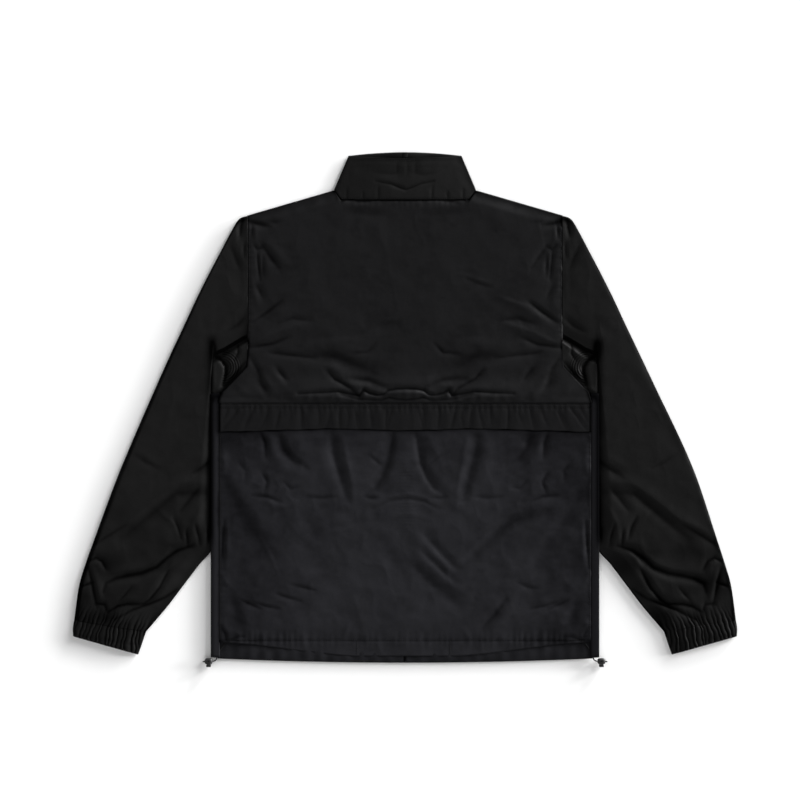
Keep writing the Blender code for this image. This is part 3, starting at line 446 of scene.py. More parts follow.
BACK_SIDE = ((283.0, 235.5), (97.5, 235.5), (60.0, 238.0), (22.5, 274.5), (7.5, SIDE_SEAM_X))
FRONT_SIDE = ((102.5, 235.0), (93.0, 251.0), (82.5, 269.0), (72.5, 285.0), (24.5, 285.0), (20.0, BODY_HALF))
FRONT_CURL = ((24.5, 0.0), (20.0, 1.0))
FLAP_EDGE = ((0.0, -35.3), (104.0, -32.3), (200.0, -35.0), (FLAP_HALF, -37.5))
NECKLINE = ((0.0, NECK_FRONT_Y), NECK_BEND, NECK)
# Section of a front at the side: share of its width, inset from the edge once rolled up, and height
FRONT_SECTION = (
    (0.91, None, 0.0),
    (0.93, 11.0, 1.0),
    (0.95, 4.0, 2.7),
    (0.965, 0.0, 4.6),
    (0.978, 2.0, 5.6),
    (0.99, 6.5, 5.7),
    (1.0, BODY_HALF - SIDE_SEAM_X + LAP, 4.8),
)
FRONT_FLAT_POINTS = 54
FRONT_CURL_STEPS = 3
HEM_BAND_END = 281.0
# The turned-up hem from its upper edge to the fold: how far above the hem's edge, and how high
HEM_TURN = (
    (34.0, 2.2), (26.0, 2.9), (16.0, 3.4), (8.0, 3.5), (2.0, 3.2), (-1.2, 2.3), (-1.4, 1.2), (0.2, 0.75),
)
GUSSET_ARM_EDGE = ((235.0, 106.5), (252.0, 96.5), (270.0, 86.0), (292.0, 73.2))
GUSSET_BACK_EDGE = ((236.0, 62.0), (273.0, 23.0), (292.0, 15.0))
GUSSET_PLEAT_CENTRE = (274.0, 59.0)
GUSSET_PLEAT = 3.6
GUSSET_CREASES = crease_rows(
    ((282, 75, 273, 68, 268, 60, 268, 51, 270, 43, 273, 33), 4.2, -4.6, 0.2, 0.2),
    ((240, 66, 256, 47, 274, 28), 5.0, -2.6, 0.2, 0.3),
    ((241, 92, 252, 86, 262, 76), 5.0, 1.8, 0.2),
    ((250, 92, 250, 80, 256, 70), 3.0, -1.6, 0.2),
    ((290, 66, 288, 46, 287, 30), 3.5, 1.6, 0.2),
    ((276, 30, 282, 22, 287, 21), 4.0, 1.8, 0.2),
)

LOW_KEY_AZIMUTHS = (10.0, 32.0, 56.0)
FLOOR_SIZE = 40.0
FLOOR_Z = -0.0008
VIEW_WIDTH = 1.2
VIEW_CENTRE = (-0.0075, 0.0105)

CORD_ROUTE = (
    (262.0, -345.0, 3.3),
    (271.0, -356.0, 3.4),
    (278.0, -366.0, 3.6),
    (281.3, -374.0, 3.9),
    (283.2, -378.6, 4.2),
    (287.2, -380.7, 4.5),
    (294.2, -380.9, 4.5),
    (303.0, -381.4, 4.3),
)


def linear(code):
    """Linear colour of an sRGB hex code."""
    parts = [int(code[place:place + 2], 16) / 255.0 for place in (1, 3, 5)]
    return tuple(part / 12.92 if part <= 0.04045 else ((part + 0.055) / 1.055) ** 2.4 for part in parts)


def colour_property(name, description, code):
    """Property for a colour that starts as an sRGB hex code."""
    return bpy.props.FloatVectorProperty(
        name=name, description=description, subtype="COLOR", size=3, default=linear(code), min=0.0, max=1.0)


def number_property(name, description, start, low=0.0, high=1000.0, **details):
    """Property for a number within limits."""
    return bpy.props.FloatProperty(
        name=name, description=description, default=start, min=low, max=high, **details)


class ClothSettings(bpy.types.PropertyGroup):
    """Sizes and colours of the nylon."""

    grid: number_property("Grid", "Spacing of the points of a shell, in millimetres", 2.3, 1.5, 8.0)
    wall: number_property("Wall", "Thickness of a shell with its turned edge, in millimetres", 0.7, 0.2)
    crease: number_property("Crease", "How deep the placed creases are", 0.85, 0.0, 2.0, subtype="FACTOR")
    rumple: number_property("Rumple", "Height of the small unevenness, in millimetres", 0.42, 0.0, 2.0)
    thread: number_property("Thread", "Spacing of the weave's threads as drawn, in millimetres", 0.9, 0.1)
    # One black nylon in four copies whose brightness follows the sheen each panel shows: painted sheen makes
    # the lower colour the lightest and bluest
    upper_colour: colour_property("Upper colour", "Nylon of the upper back and flap", "#131314")
    lower_sheen_colour: colour_property("Lower colour", "Nylon of the lower back and fronts", "#1e1e21")
    sleeve_colour: colour_property("Sleeve colour", "Nylon of the sleeves, gussets and collar", "#121212")
    cuff_colour: colour_property("Cuff colour", "Nylon of the cuffs", "#111111")


class HardwareSettings(bpy.types.PropertyGroup):
    """Sizes and colours of the zip, cords and locks."""

    cord: number_property(
        "Cord", "Diameter of the hem cord", 0.0018, 0.001, 0.004, unit="LENGTH", precision=4)
    tooth: number_property("Tooth", "Spacing of the zip's teeth, in millimetres", 2.4, 1.0, 6.0)
    plastic_colour: colour_property("Plastic colour", "Cord locks and zip teeth", "#0e0e0f")
    metal_colour: colour_property("Metal colour", "Painted zip slider and pull tab", "#151517")
    elastic_colour: colour_property("Elastic colour", "Braid of the hem cords", "#111112")
    thread_colour: colour_property("Thread colour", "Sewing thread", "#0f0f10")


class StageSettings(bpy.types.PropertyGroup):
    """Floor, lights and camera."""

    floor_colour: colour_property("Floor colour", "Pale paper under the garment", "#fbfbfb")
    low_key: number_property("Low key", "Strength of the grazing light from the upper right", 12.5)
    key: number_property("Key", "Strength of the soft light from the upper right", 2.0)
    fill: number_property("Fill", "Strength of each of the two soft lights opposite", 0.82)
    sky: number_property("Sky", "Strength of the even light all round", 0.07, 0.0, 4.0)
    lens: number_property("Lens", "Focal length of the camera, in millimetres", 100.0, 20.0)


def unit(value):
    """A value, held between 0 and 1."""
    return np.clip(value, 0.0, 1.0)


def ramp(value):
    """Smooth step from 0 to 1."""
    held = unit(value)
    return held * held * (3.0 - 2.0 * held)


def hump(value, reach):
    """1 where a value is 0, falling smoothly away on both sides."""
    return np.exp(-(value / reach) ** 2)


def crossed(downward, across):
    """Grids of every pairing of two rows of values, the first down the grid."""
    return np.meshgrid(downward, across, indexing="ij")


def mix(start, end, share):
    return start + (end - start) * share


def read_table(rows, place):
    """Values at places in rows of (place, value), straight between them."""
    ordered = sorted(rows)
    return np.interp(place, [row[0] for row in ordered], [row[1] for row in ordered])


def chord_lengths(points):
    """Length of a path up to each of its points."""
    return np.concatenate([[0.0], np.cumsum(np.linalg.norm(np.diff(points, axis=0), axis=1))])


def points_at(path, places):
    """Points at lengths along a path of straight stretches."""
    lengths = chord_lengths(path)
    return np.stack([np.interp(places, lengths, column) for column in path.T], -1)


def along_path(path, shares):
    """Points at shares of the length of a path of straight stretches."""
    points = np.array(path, float)
    return points_at(points, shares * chord_lengths(points)[-1])


def smooth_path(points, steps):
    """Points on a smooth curve through a path's own points, with a number of steps between each two."""
    held = np.array([points[0], *points, points[-1]], float)
    bends = []
    shares = np.arange(steps)[:, None] / steps
    for before, start, end, after in zip(held, held[1:], held[2:], held[3:]):
        bends.append((2.0 * start + (end - before) * shares
                      + (2.0 * before - 5.0 * start + 4.0 * end - after) * shares ** 2
                      + (3.0 * start - before - 3.0 * end + after) * shares ** 3) / 2.0)
    return np.concatenate([*bends, held[-1:]])


def path_distance(path, x, y):
    """Distance of each place from a path, which side of the path it is on, and its share along it."""
    points = np.array(path, float)
    lengths = np.linalg.norm(np.diff(points, axis=0), axis=1)
    best = np.full(np.shape(x), np.inf)
    side = np.zeros(np.shape(x))
    share = np.zeros(np.shape(x))
    passed = 0.0
    for start, end, length in zip(points, points[1:], lengths):
        run = (end - start) / length
        along = np.clip((x - start[0]) * run[0] + (y - start[1]) * run[1], 0.0, length)
        across = (x - start[0]) * run[1] - (y - start[1]) * run[0]
        away = np.hypot(x - start[0] - along * run[0], y - start[1] - along * run[1])
        nearer = away < best
        best = np.where(nearer, away, best)
        side = np.where(nearer, np.sign(across), side)
        share = np.where(nearer, (passed + along) / lengths.sum(), share)
        passed += length
    return best, side, share


def crease_height(creases, x, y):
    """Sum of soft ridges and troughs, steeper on one side, which fade to their ends."""
    total = np.zeros(np.shape(x))
    for crease in creases:
        away, side, share = path_distance(crease.path, x, y)
        reach = crease.width * (1.0 + crease.lean * side)
        soft = hump(away, reach)
        crisp = np.exp(-1.6 * away / reach)
        fade = np.sin(np.pi * mix(0.1, 0.9, share)) ** 0.8
        depth = crease.depth if crease.depth < 0.0 else crease.depth * RIDGE_SHARE
        total += depth * mix(soft, crisp, crease.sharp) * fade
    return total


def crease_painted_shade(creases, x, y):
    """Painted shade in the troughs, from 0 to 1: darker the deeper in a trough a place lies, as less light
    gets to the cloth there.
    """
    total = np.zeros(np.shape(x))
    for crease in creases:
        if crease.depth < 0.0:
            away, _side, share = path_distance(crease.path, x, y)
            broad = hump(away, crease.width)
            core = hump(away, 0.3 * crease.width + 0.7)
            crisp = np.clip((9.0 - crease.width) / 6.0, 0.05, 0.7)
            total -= crease.depth * mix(0.4 * broad, core, crisp) * np.sin(np.pi * mix(0.12, 0.88, share))
    return 1.0 - np.exp(-total / PAINTED_SHADE_SCALE)


def lattice_noise(x, y, size, seed):
    """Even, seeded waviness between -1 and 1, with humps of about one size."""
    count = 64
    values = np.random.default_rng(seed).uniform(-1.0, 1.0, (count, count))
    place_x = x / size + count / 2.0
    place_y = y / size + count / 2.0
    cell_x = np.floor(place_x).astype(int)
    cell_y = np.floor(place_y).astype(int)
    share_x = ramp(place_x - cell_x)
    share_y = ramp(place_y - cell_y)
    corner = [[values[(cell_x + i) % count, (cell_y + j) % count] for j in (0, 1)] for i in (0, 1)]
    low = mix(corner[0][0], corner[1][0], share_x)
    high = mix(corner[0][1], corner[1][1], share_x)
    return mix(low, high, share_y)


def rumple_height(x, y, seed):
    """Small unevenness of cloth that was folded: broad humps, then finer ones and faint lines."""
    broad = lattice_noise(x, y, 46.0, seed)
    middle = lattice_noise(x + 0.4 * y, y, 21.0, seed + 1)
    fine = lattice_noise(x - 0.3 * y, y, 10.0, seed + 2)
    lines = 1.0 - np.abs(lattice_noise(x + 0.2 * y, y - 0.2 * x, 30.0, seed + 3))
    return broad + 0.55 * middle + 0.28 * fine + 0.5 * lines ** 4


def pucker_height(puckers, x, up):
    """Ridges of a gathered edge; up is 0 at the gathered line and 1 where they end."""
    total = np.zeros(np.shape(x))
    for place, lean, half, height in puckers:
        away = np.abs(x - place - lean * up) / half
        total += height * np.exp(-(away * 1.3) ** 2)
    return total


def seam_pucker(along, away, reach):
    """Fine gathering beside a row of stitches."""
    wave = np.sin(along * 0.62 + 1.7 * np.sin(along * 0.11)) * 0.6 + np.sin(along * 0.33 + 2.0) * 0.4
    return 0.28 * wave * hump(away, reach)


def shoulder_line(x):
    share = (np.abs(x) - NECK[0]) / (SHOULDER[0] - NECK[0])
    return mix(NECK[1], SHOULDER[1], share)


def back_top(x):
    """Upper edge of the back: the collar seam, then the shoulder."""
    far = np.abs(x)
    notch = mix(COLLAR_SEAM_Y, NECK[1], (far - COLLAR_SEAM_X) / (NECK[0] - COLLAR_SEAM_X))
    return np.where(far <= COLLAR_SEAM_X, COLLAR_SEAM_Y, np.where(far < NECK[0], notch, shoulder_line(x)))


def back_hem(x):
    run = (np.abs(x) - BACK_HEM_FLAT_HALF) / (SIDE_SEAM_X - BACK_HEM_FLAT_HALF)
    return mix(BACK_HEM_CENTRE_Y, BACK_HEM_SIDE_Y, mix(unit(run), ramp(run), 0.45))


def front_hem(x):
    return mix(HEM_CENTRE_Y, HEM_SIDE_Y, (np.abs(x) / BODY_HALF) ** 2)


def body_base(x):
    return BACK_LOFT + BACK_CROWN * (1.0 - (x / BODY_HALF) ** 2)


def upper_height(x, y, cloth):
    """Outer face of the upper back."""
    height = body_base(x) + cloth.crease * crease_height(UPPER_CREASES, x, y)
    height += 0.8 * cloth.rumple * rumple_height(x, y, 11)
    up = (y - WAIST_SEAM_Y) / ROLL_DEPTH
    middle = 1.0 - ramp((np.abs(x) - 150.0) / 90.0)
    bulge = hump(up - 0.5, 0.7)
    height += ROLL_LIFT * mix(0.3, 0.75, middle) * bulge
    height += cloth.crease * mix(0.3, 1.0, middle) * crease_height(ROLL_CREASES, x, y)
    gathered = ramp((up + 0.05) / 0.15) * (1.0 - ramp((up - 0.25) / 0.9))
    height += 0.5 * cloth.crease * pucker_height(ROLL_PUCKERS, x, up) * gathered
    height = mix(np.maximum(height, body_base(x) + FLAP_STAND + 0.3), height, ramp((up - 0.02) / 0.35))
    armhole = SHOULDER[0] - np.abs(x)
    beside = ramp((y - BACK_SIDE[2][0]) / 40.0)
    height += beside * (seam_pucker(y, armhole, 9.0) - 0.6 * hump(armhole, 3.0))
    collar = np.where(np.abs(x) < NECK[0], back_top(x) - y, 60.0)
    height += seam_pucker(x, collar, 9.0) - 0.6 * hump(collar, 3.0)
    height = mix(height, np.minimum(height, 4.2), ramp((0.4 - collar) / 1.2))
    side = read_table(BACK_SIDE, y) - np.abs(x)
    seamed = ramp((1.0 - side) / 1.6) * ramp((y - 24.0) / 6.0)
    height = mix(height, np.where(y > BACK_SIDE[1][0], 4.7, 3.9), seamed)
    lie = ramp((np.abs(x) - COLLAR_SEAM_X) / (NECK[0] - COLLAR_SEAM_X))
    fall = 1.0 - ramp((shoulder_line(x) - y) / EDGE_FALL)
    return mix(height, EDGE_LOFT, lie * fall)


def lower_height(x, y, cloth):
    """Outer face of the lower back, plain under the flap."""
    flap_low = FLAP_EDGE[-1][1]
    bare = ramp((flap_low + 3.0 - y) / 14.0)
    height = body_base(x) + bare * cloth.crease * crease_height(LOWER_CREASES, x, y)
    height += bare * cloth.rumple * 1.3 * rumple_height(x, y, 23)
    along = ramp((-66.0 - y) / 20.0) * ramp((y + 196.0) / 30.0)
    ripple = np.sin(2.0 * np.pi * y / 4.6 + 1.4 * np.sin(y * 0.13) + (x / 15.0) ** 2 * 0.5)
    height += 0.4 * along * ripple * hump(x - 2.0, 15.0)
    stitch = y - CASING_STITCH_Y
    tight = 0.7 + 1.5 * hump(np.abs(x) - 205.0, 45.0)
    height += tight * seam_pucker(x, stitch, 11.0) - 0.3 * hump(stitch, 2.0)
    height += CASING_LIFT * ramp(-stitch / 5.0)
    inside = 1.0 - ramp((np.abs(x) - 225.0) / 30.0)
    height -= HEM_FALL * inside * ramp((CASING_STITCH_Y + 30.0 - y) / 50.0)
    side = SIDE_SEAM_X - np.abs(x)
    height += bare * (seam_pucker(y, side, 9.0) - 0.4 * hump(side, 2.5))
    height = np.maximum(height, mix(5.3, 1.6, ramp((side - 3.0) / 10.0)))
    return mix(height, 4.3, ramp((1.0 - side) / 1.6))


def flap_height(x, y, cloth):
    """Outer face of the flap over the waist seam."""
    edge = read_table(FLAP_EDGE, np.abs(x))
    down = unit((FLAP_TOP_Y - y) / (FLAP_TOP_Y - edge))
    height = body_base(x) + FLAP_STAND - 0.3 * ramp((down - 0.2) / 0.8)
    swell = ramp(down / 0.3)
    relief = 0.3 * pucker_height(FLAP_PUCKERS, x, down) + 0.36 * crease_height(FLAP_CREASES, x, y)
    height += cloth.crease * swell * relief
    for row in FLAP_STITCH_ROWS:
        height -= 0.4 * hump(y - row, 1.6)
    height += seam_pucker(x, y - FLAP_STITCH_ROWS[1], 7.0)
    height += 0.5 * cloth.rumple * np.clip(rumple_height(x, y, 37), 0.0, None)
    return np.maximum(height, body_base(x) + 0.85)


def collar_height(x, y, share, cloth):
    """Outer face of the back of the collar."""
    height = mix(COLLAR_LOFT, EDGE_LOFT + 0.8, unit((np.abs(share) - 0.3) / 0.7) ** 1.4)
    level = 1.0 - ramp((np.abs(share) - 0.9) / 0.1)
    height += level * cloth.crease * crease_height(COLLAR_CREASES, x, y)
    height -= 1.0 * (1.0 - ramp((y - back_top(x)) / 4.0))
    return height + level * 0.8 * cloth.rumple * rumple_height(x, y, 51)


def face_corners(rows, columns, closed):
    """Row and column of each corner of a grid's faces; a closed grid runs one column past its last."""
    row, column = crossed(np.arange(rows - 1), np.arange(columns if closed else columns - 1))
    rows_of = np.stack([row, row, row + 1, row + 1], -1).reshape(-1, 4)
    columns_of = np.stack([column, column + 1, column + 1, column], -1).reshape(-1, 4)
    return rows_of, columns_of


def only(obj):
    """Makes an object the only one selected, and active."""
    bpy.ops.object.select_all(action="DESELECT")
    obj.select_set(True)
    bpy.context.view_layer.objects.active = obj


def apply_modifiers(obj):
    only(obj)
    for modifier in list(obj.modifiers):
        bpy.ops.object.modifier_apply(modifier=modifier.name)


def sew_shell(name, points, wall, closed=False, outside_up=True, painted_shade=None, inner_painted_shade=None):
    """Thin cloth from a grid of points: a skin with its weave's map and its painted shade, walled on its
    inner side.
    """
    rows, columns = points.shape[:2]
    rows_of, columns_of = face_corners(rows, columns, closed)
    faces = rows_of * columns + columns_of % columns
    mesh = bpy.data.meshes.new(name)
    mesh.from_pydata((points.reshape(-1, 3) * MM).tolist(), [], faces.tolist())
    middle = points[rows // 2]
    across = chord_lengths(np.concatenate([middle, middle[:1]]))
    along = chord_lengths(points[:, columns // 3])
    weave = mesh.uv_layers.new(name="weave")
    corners = np.stack([across[columns_of], along[rows_of]], -1).reshape(-1, 2) * MM
    weave.data.foreach_set("uv", corners.ravel())
    # Painted shade: an attribute that darkens the cloth's colour where it is high, 0 where none is given
    shade = mesh.attributes.new("painted_shade", "FLOAT", "POINT")
    shade.data.foreach_set("value", np.zeros(rows * columns) if painted_shade is None else painted_shade.ravel())
    heights = points.reshape(-1, 3)[faces][:, :, 2].mean(axis=1)
    top = mesh.polygons[int(heights.argmax())]
    if (top.normal.z > 0.0) != outside_up:
        mesh.flip_normals()
    obj = bpy.data.objects.new(name, mesh)
    bpy.context.collection.objects.link(obj)
    solid = obj.modifiers.new("wall", "SOLIDIFY")
    solid.thickness = wall * MM
    solid.offset = -1.0
    apply_modifiers(obj)
    obj.data.shade_smooth()
    # The inner face gets its own painted shade
    if inner_painted_shade is not None:
        placed = np.zeros(6 * rows * columns)
        obj.data.vertices.foreach_get("co", placed)
        outer_first = np.allclose(placed[:3 * rows * columns], points.ravel() * MM, atol=1e-6)
        values = [painted_shade.ravel(), inner_painted_shade.ravel()] if outer_first else [inner_painted_shade.ravel(), painted_shade.ravel()]
        obj.data.attributes["painted_shade"].data.foreach_set("value", np.concatenate(values))
    return obj


def cut_size(points, closed=False):
    """Width, length and area of a grid of points laid flat, in metres."""
    ring = np.concatenate([points, points[:, :1]], axis=1) if closed else points
    widths = np.linalg.norm(np.diff(ring, axis=1), axis=2).sum(axis=1)
    lengths = np.linalg.norm(np.diff(ring, axis=0), axis=2).sum(axis=0)
    first = np.cross(ring[1:, :-1] - ring[:-1, :-1], ring[:-1, 1:] - ring[:-1, :-1])
    second = np.cross(ring[:-1, 1:] - ring[1:, 1:], ring[1:, :-1] - ring[1:, 1:])
    area = (np.linalg.norm(first, axis=2).sum() + np.linalg.norm(second, axis=2).sum()) / 2.0
    return widths.max() * MM, lengths.max() * MM, area * MM * MM


def dress(obj, material, node=None, body=GARMENT):
    """Gives a piece its finish and its body, and hides the CAD node that it stands for."""
    obj.data.materials.append(finish(material))
    if node is not None:
        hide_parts(node)
    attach(obj, body)


def dress_cloth(obj, points, material, node=None, closed=False):
    """Dresses a shell; the width, length and area that it was cut to are worked out and not kept."""
    dress(obj, material, node)
    width, length, area = cut_size(points, closed)
    area = min(area, width * length)


def add_node(tree, kind, inputs=None, links=None, **settings):
    """One shader node: its settings, its input values and what is linked into it."""
    node = tree.nodes.new(kind)
    for key, value in settings.items():
        setattr(node, key, value)
    for key, value in (inputs or {}).items():
        node.inputs[key].default_value = value
    for key, output in (links or {}).items():
        tree.links.new(output, node.inputs[key])
    return node


def start_material(name, colour, roughness, **sockets):
    """Material with a Principled shader and constants on its own sockets."""
    material = bpy.data.materials.new(name)
    material.use_nodes = True
    shader = material.node_tree.nodes["Principled BSDF"]
    shader.inputs["Base Color"].default_value = (*colour, 1.0)
    shader.inputs["Roughness"].default_value = roughness
    for key, value in sockets.items():
        shader.inputs[key.replace("_", " ")].default_value = value
    return material, material.node_tree, shader


def woven_nylon(name, colour):
    """Plain-woven nylon, calendered: dull black, soft sheen where turned to the light, painted shade from an
    attribute.

    The real threads are about 0.15 mm apart, too fine to show, so they are drawn coarser.
    """
    material, tree, shader = start_material(name, colour, 0.5, Specular_IOR_Level=0.08)
    place = add_node(tree, "ShaderNodeTexCoord")
    wave_scale = math.pi / 10.0 / (bpy.context.scene.windbreaker_cloth.thread * MM)
    threads = []
    for direction in ("X", "Y"):
        threads.append(add_node(
            tree, "ShaderNodeTexWave", {"Scale": wave_scale, "Distortion": 0.6, "Detail": 1.0},
            {"Vector": place.outputs["UV"]}, wave_type="BANDS", bands_direction=direction))
    weave = add_node(
        tree, "ShaderNodeMath", None, {0: threads[0].outputs["Fac"], 1: threads[1].outputs["Fac"]},
        operation="MULTIPLY")
    crinkle = add_node(
        tree, "ShaderNodeTexNoise", {"Scale": 1.0 / (7.0 * MM), "Detail": 5.0, "Roughness": 0.62},
        {"Vector": place.outputs["Object"]})
    cloudy = add_node(
        tree, "ShaderNodeTexNoise", {"Scale": 1.0 / (40.0 * MM), "Detail": 3.0},
        {"Vector": place.outputs["Object"]})
    tone = add_node(
        tree, "ShaderNodeMapRange", {"To Min": 0.86, "To Max": 1.16}, {"Value": cloudy.outputs["Fac"]})
    tint = add_node(
        tree, "ShaderNodeMix", {0: 1.0, 6: (*colour, 1.0)}, {7: tone.outputs["Result"]}, data_type="RGBA",
        blend_type="MULTIPLY")
    # Painted shade: the attribute mixes the colour towards a small share of itself where the cloth is shaded
    painted_shade = add_node(tree, "ShaderNodeAttribute", attribute_name="painted_shade")
    shaded = add_node(
        tree, "ShaderNodeMix", {7: (*[part * PAINTED_SHADE_TONE for part in colour], 1.0)},
        {0: painted_shade.outputs["Fac"], 6: tint.outputs[2]}, data_type="RGBA", blend_type="MIX")
    tree.links.new(shaded.outputs[2], shader.inputs["Base Color"])
    # Painted shade on the sheen: less specular where the attribute is high
    sheen = add_node(
        tree, "ShaderNodeMapRange", {"To Min": 0.08, "To Max": 0.004}, {"Value": painted_shade.outputs["Fac"]})
    tree.links.new(sheen.outputs["Result"], shader.inputs["Specular IOR Level"])
    dull = add_node(
        tree, "ShaderNodeMapRange", {"To Min": 0.44, "To Max": 0.6}, {"Value": crinkle.outputs["Fac"]})
    tree.links.new(dull.outputs["Result"], shader.inputs["Roughness"])
    folds = add_node(
        tree, "ShaderNodeBump", {"Strength": 0.35, "Distance": 0.6 * MM},
        {"Height": crinkle.outputs["Fac"]})
    cloth = add_node(
        tree, "ShaderNodeBump", {"Strength": 0.25, "Distance": 0.12 * MM},
        {"Height": weave.outputs["Value"], "Normal": folds.outputs["Normal"]})
    tree.links.new(cloth.outputs["Normal"], shader.inputs["Normal"])
    return material


def patterned(name, colour, roughness, texture, bump, gloss=None, turn=None, **sockets):
    """Material with one fine pattern, which raises the surface and, given a range, breaks up the gloss."""
    material, tree, shader = start_material(name, colour, roughness, **sockets)
    kind, inputs, settings = texture
    place = add_node(tree, "ShaderNodeTexCoord").outputs["Object"]
    if turn is not None:
        place = add_node(tree, "ShaderNodeMapping", {"Rotation": turn}, {"Vector": place}).outputs["Vector"]
    pattern = add_node(tree, kind, inputs, {"Vector": place}, **settings).outputs["Fac"]
    if gloss is not None:
        dull = add_node(
            tree, "ShaderNodeMapRange", {"To Min": gloss[0], "To Max": gloss[1]}, {"Value": pattern})
        tree.links.new(dull.outputs["Result"], shader.inputs["Roughness"])
    strength, height = bump
    raised = add_node(
        tree, "ShaderNodeBump", {"Strength": strength, "Distance": height * MM}, {"Height": pattern})
    tree.links.new(raised.outputs["Normal"], shader.inputs["Normal"])
    return material


def spun_thread(name, colour):
    """Polyester sewing thread: twisted about every 0.4 mm, a little duller than the nylon."""
    twist = ("ShaderNodeTexWave", {"Scale": math.pi / 10.0 / (0.4 * MM)},
             {"wave_type": "BANDS", "bands_direction": "DIAGONAL"})
    return patterned(name, colour, 0.7, twist, (0.3, 0.1), Specular_IOR_Level=0.1)


def moulded_acetal(name, colour):
    """Injection-moulded acetal: a low, spark-eroded grain of 0.5 mm that breaks up its gloss."""
    grain = ("ShaderNodeTexNoise", {"Scale": 1.0 / (0.5 * MM), "Detail": 3.0}, {})
    return patterned(name, colour, 0.42, grain, (0.2, 0.1), gloss=(0.34, 0.52), Specular_IOR_Level=0.5)


def painted_zinc(name, colour):
    """Die-cast zinc under black paint: smooth, with a slight orange peel of 0.9 mm."""
    peel = ("ShaderNodeTexNoise", {"Scale": 1.0 / (0.9 * MM), "Detail": 2.0}, {})
    return patterned(
        name, colour, 0.32, peel, (0.15, 0.1), gloss=(0.26, 0.4), Specular_IOR_Level=0.4, Coat_Weight=0.1)


def braided_elastic(name, colour):
    """Elastic cord in a braided sleeve: crossed strands of 0.6 mm round it."""
    strands = ("ShaderNodeTexChecker", {"Scale": 1.0 / (0.6 * MM)}, {})
    return patterned(name, colour, 0.7, strands, (0.5, 0.2), turn=(0.5, 0.4, 0.8), Specular_IOR_Level=0.1)


def pale_paper(name, colour):
    """Matt white paper: even, with a trace of tooth, drawn at 2 mm, as real tooth is too fine to show."""
    tooth = ("ShaderNodeTexNoise", {"Scale": 1.0 / (2.0 * MM), "Detail": 2.0}, {})
    return patterned(name, colour, 0.95, tooth, (0.02, 0.1), Specular_IOR_Level=0.0)


def finish(name):
    """A finish that several pieces share, made once."""
    made = bpy.data.materials.get(name)
    if made is not None:
        return made
    cloth = bpy.context.scene.windbreaker_cloth
    hardware = bpy.context.scene.windbreaker_hardware
    stage = bpy.context.scene.windbreaker_stage
    maker, colour = {
        "upper nylon": (woven_nylon, cloth.upper_colour),
        "lower nylon": (woven_nylon, cloth.lower_sheen_colour),
        "sleeve nylon": (woven_nylon, cloth.sleeve_colour),
        "cuff nylon": (woven_nylon, cloth.cuff_colour),
        "spun thread": (spun_thread, hardware.thread_colour),
        "moulded acetal": (moulded_acetal, hardware.plastic_colour),
        "painted zinc": (painted_zinc, hardware.metal_colour),
        "braided elastic": (braided_elastic, hardware.elastic_colour),
        "pale paper": (pale_paper, stage.floor_colour),
    }[name]
    return maker(name, colour[:])


def spread(low, high, step):
    """Even places from low to high, about one step apart."""
    return np.linspace(low, high, max(2, int(round(abs(high - low) / step)) + 1))


def upper_grid(cloth):
    levels = np.concatenate([spread(0.0, 0.86, cloth.grid / 300.0), spread(0.86, 1.0, 1.3 / 300.0)[1:]])
    down, across = crossed(levels, spread(-1.0, 1.0, 0.9 * cloth.grid / 252.0))
    tuck = 2.6 * ramp((COLLAR_SEAM_X - np.abs(across) * SHOULDER[0]) / 8.0)
    y = mix(back_top(across * SHOULDER[0]) + tuck, WAIST_SEAM_Y - LAP, down)
    x = across * (read_table(BACK_SIDE, y) + LAP / 2.0)
    return np.stack([x, y, upper_height(x, y, cloth)], -1)


def lower_grid(cloth):
    down, across = crossed(spread(0.0, 1.0, cloth.grid / 375.0), spread(-1.0, 1.0, cloth.grid / SIDE_SEAM_X))
    x = across * (SIDE_SEAM_X + LAP / 2.0)
    y = mix(FLAP_TOP_Y, back_hem(x), down)
    return np.stack([x, y, lower_height(x, y, cloth)], -1)


def flap_grid(cloth):
    down, across = crossed(spread(0.0, 1.0, 1.5 / 43.0), spread(-1.0, 1.0, 1.3 / FLAP_HALF))
    x = across * FLAP_HALF
    wave = 0.35 * np.sin(x * 0.09) + 0.3 * np.sin(x * 0.21 + 1.0)
    y = mix(FLAP_TOP_Y, read_table(FLAP_EDGE, np.abs(x)) + wave, down)
    return np.stack([x, y, flap_height(x, y, cloth)], -1)


def mottling(x, y, seed):
    """Fine uneven shade of cloth that was folded small, mostly along the width."""
    broad = lattice_noise(0.6 * x + 0.2 * y, y, 7.0, seed)
    fine = lattice_noise(x - 0.5 * y, y, 4.0, seed + 1)
    return 0.1 * broad + 0.06 * fine


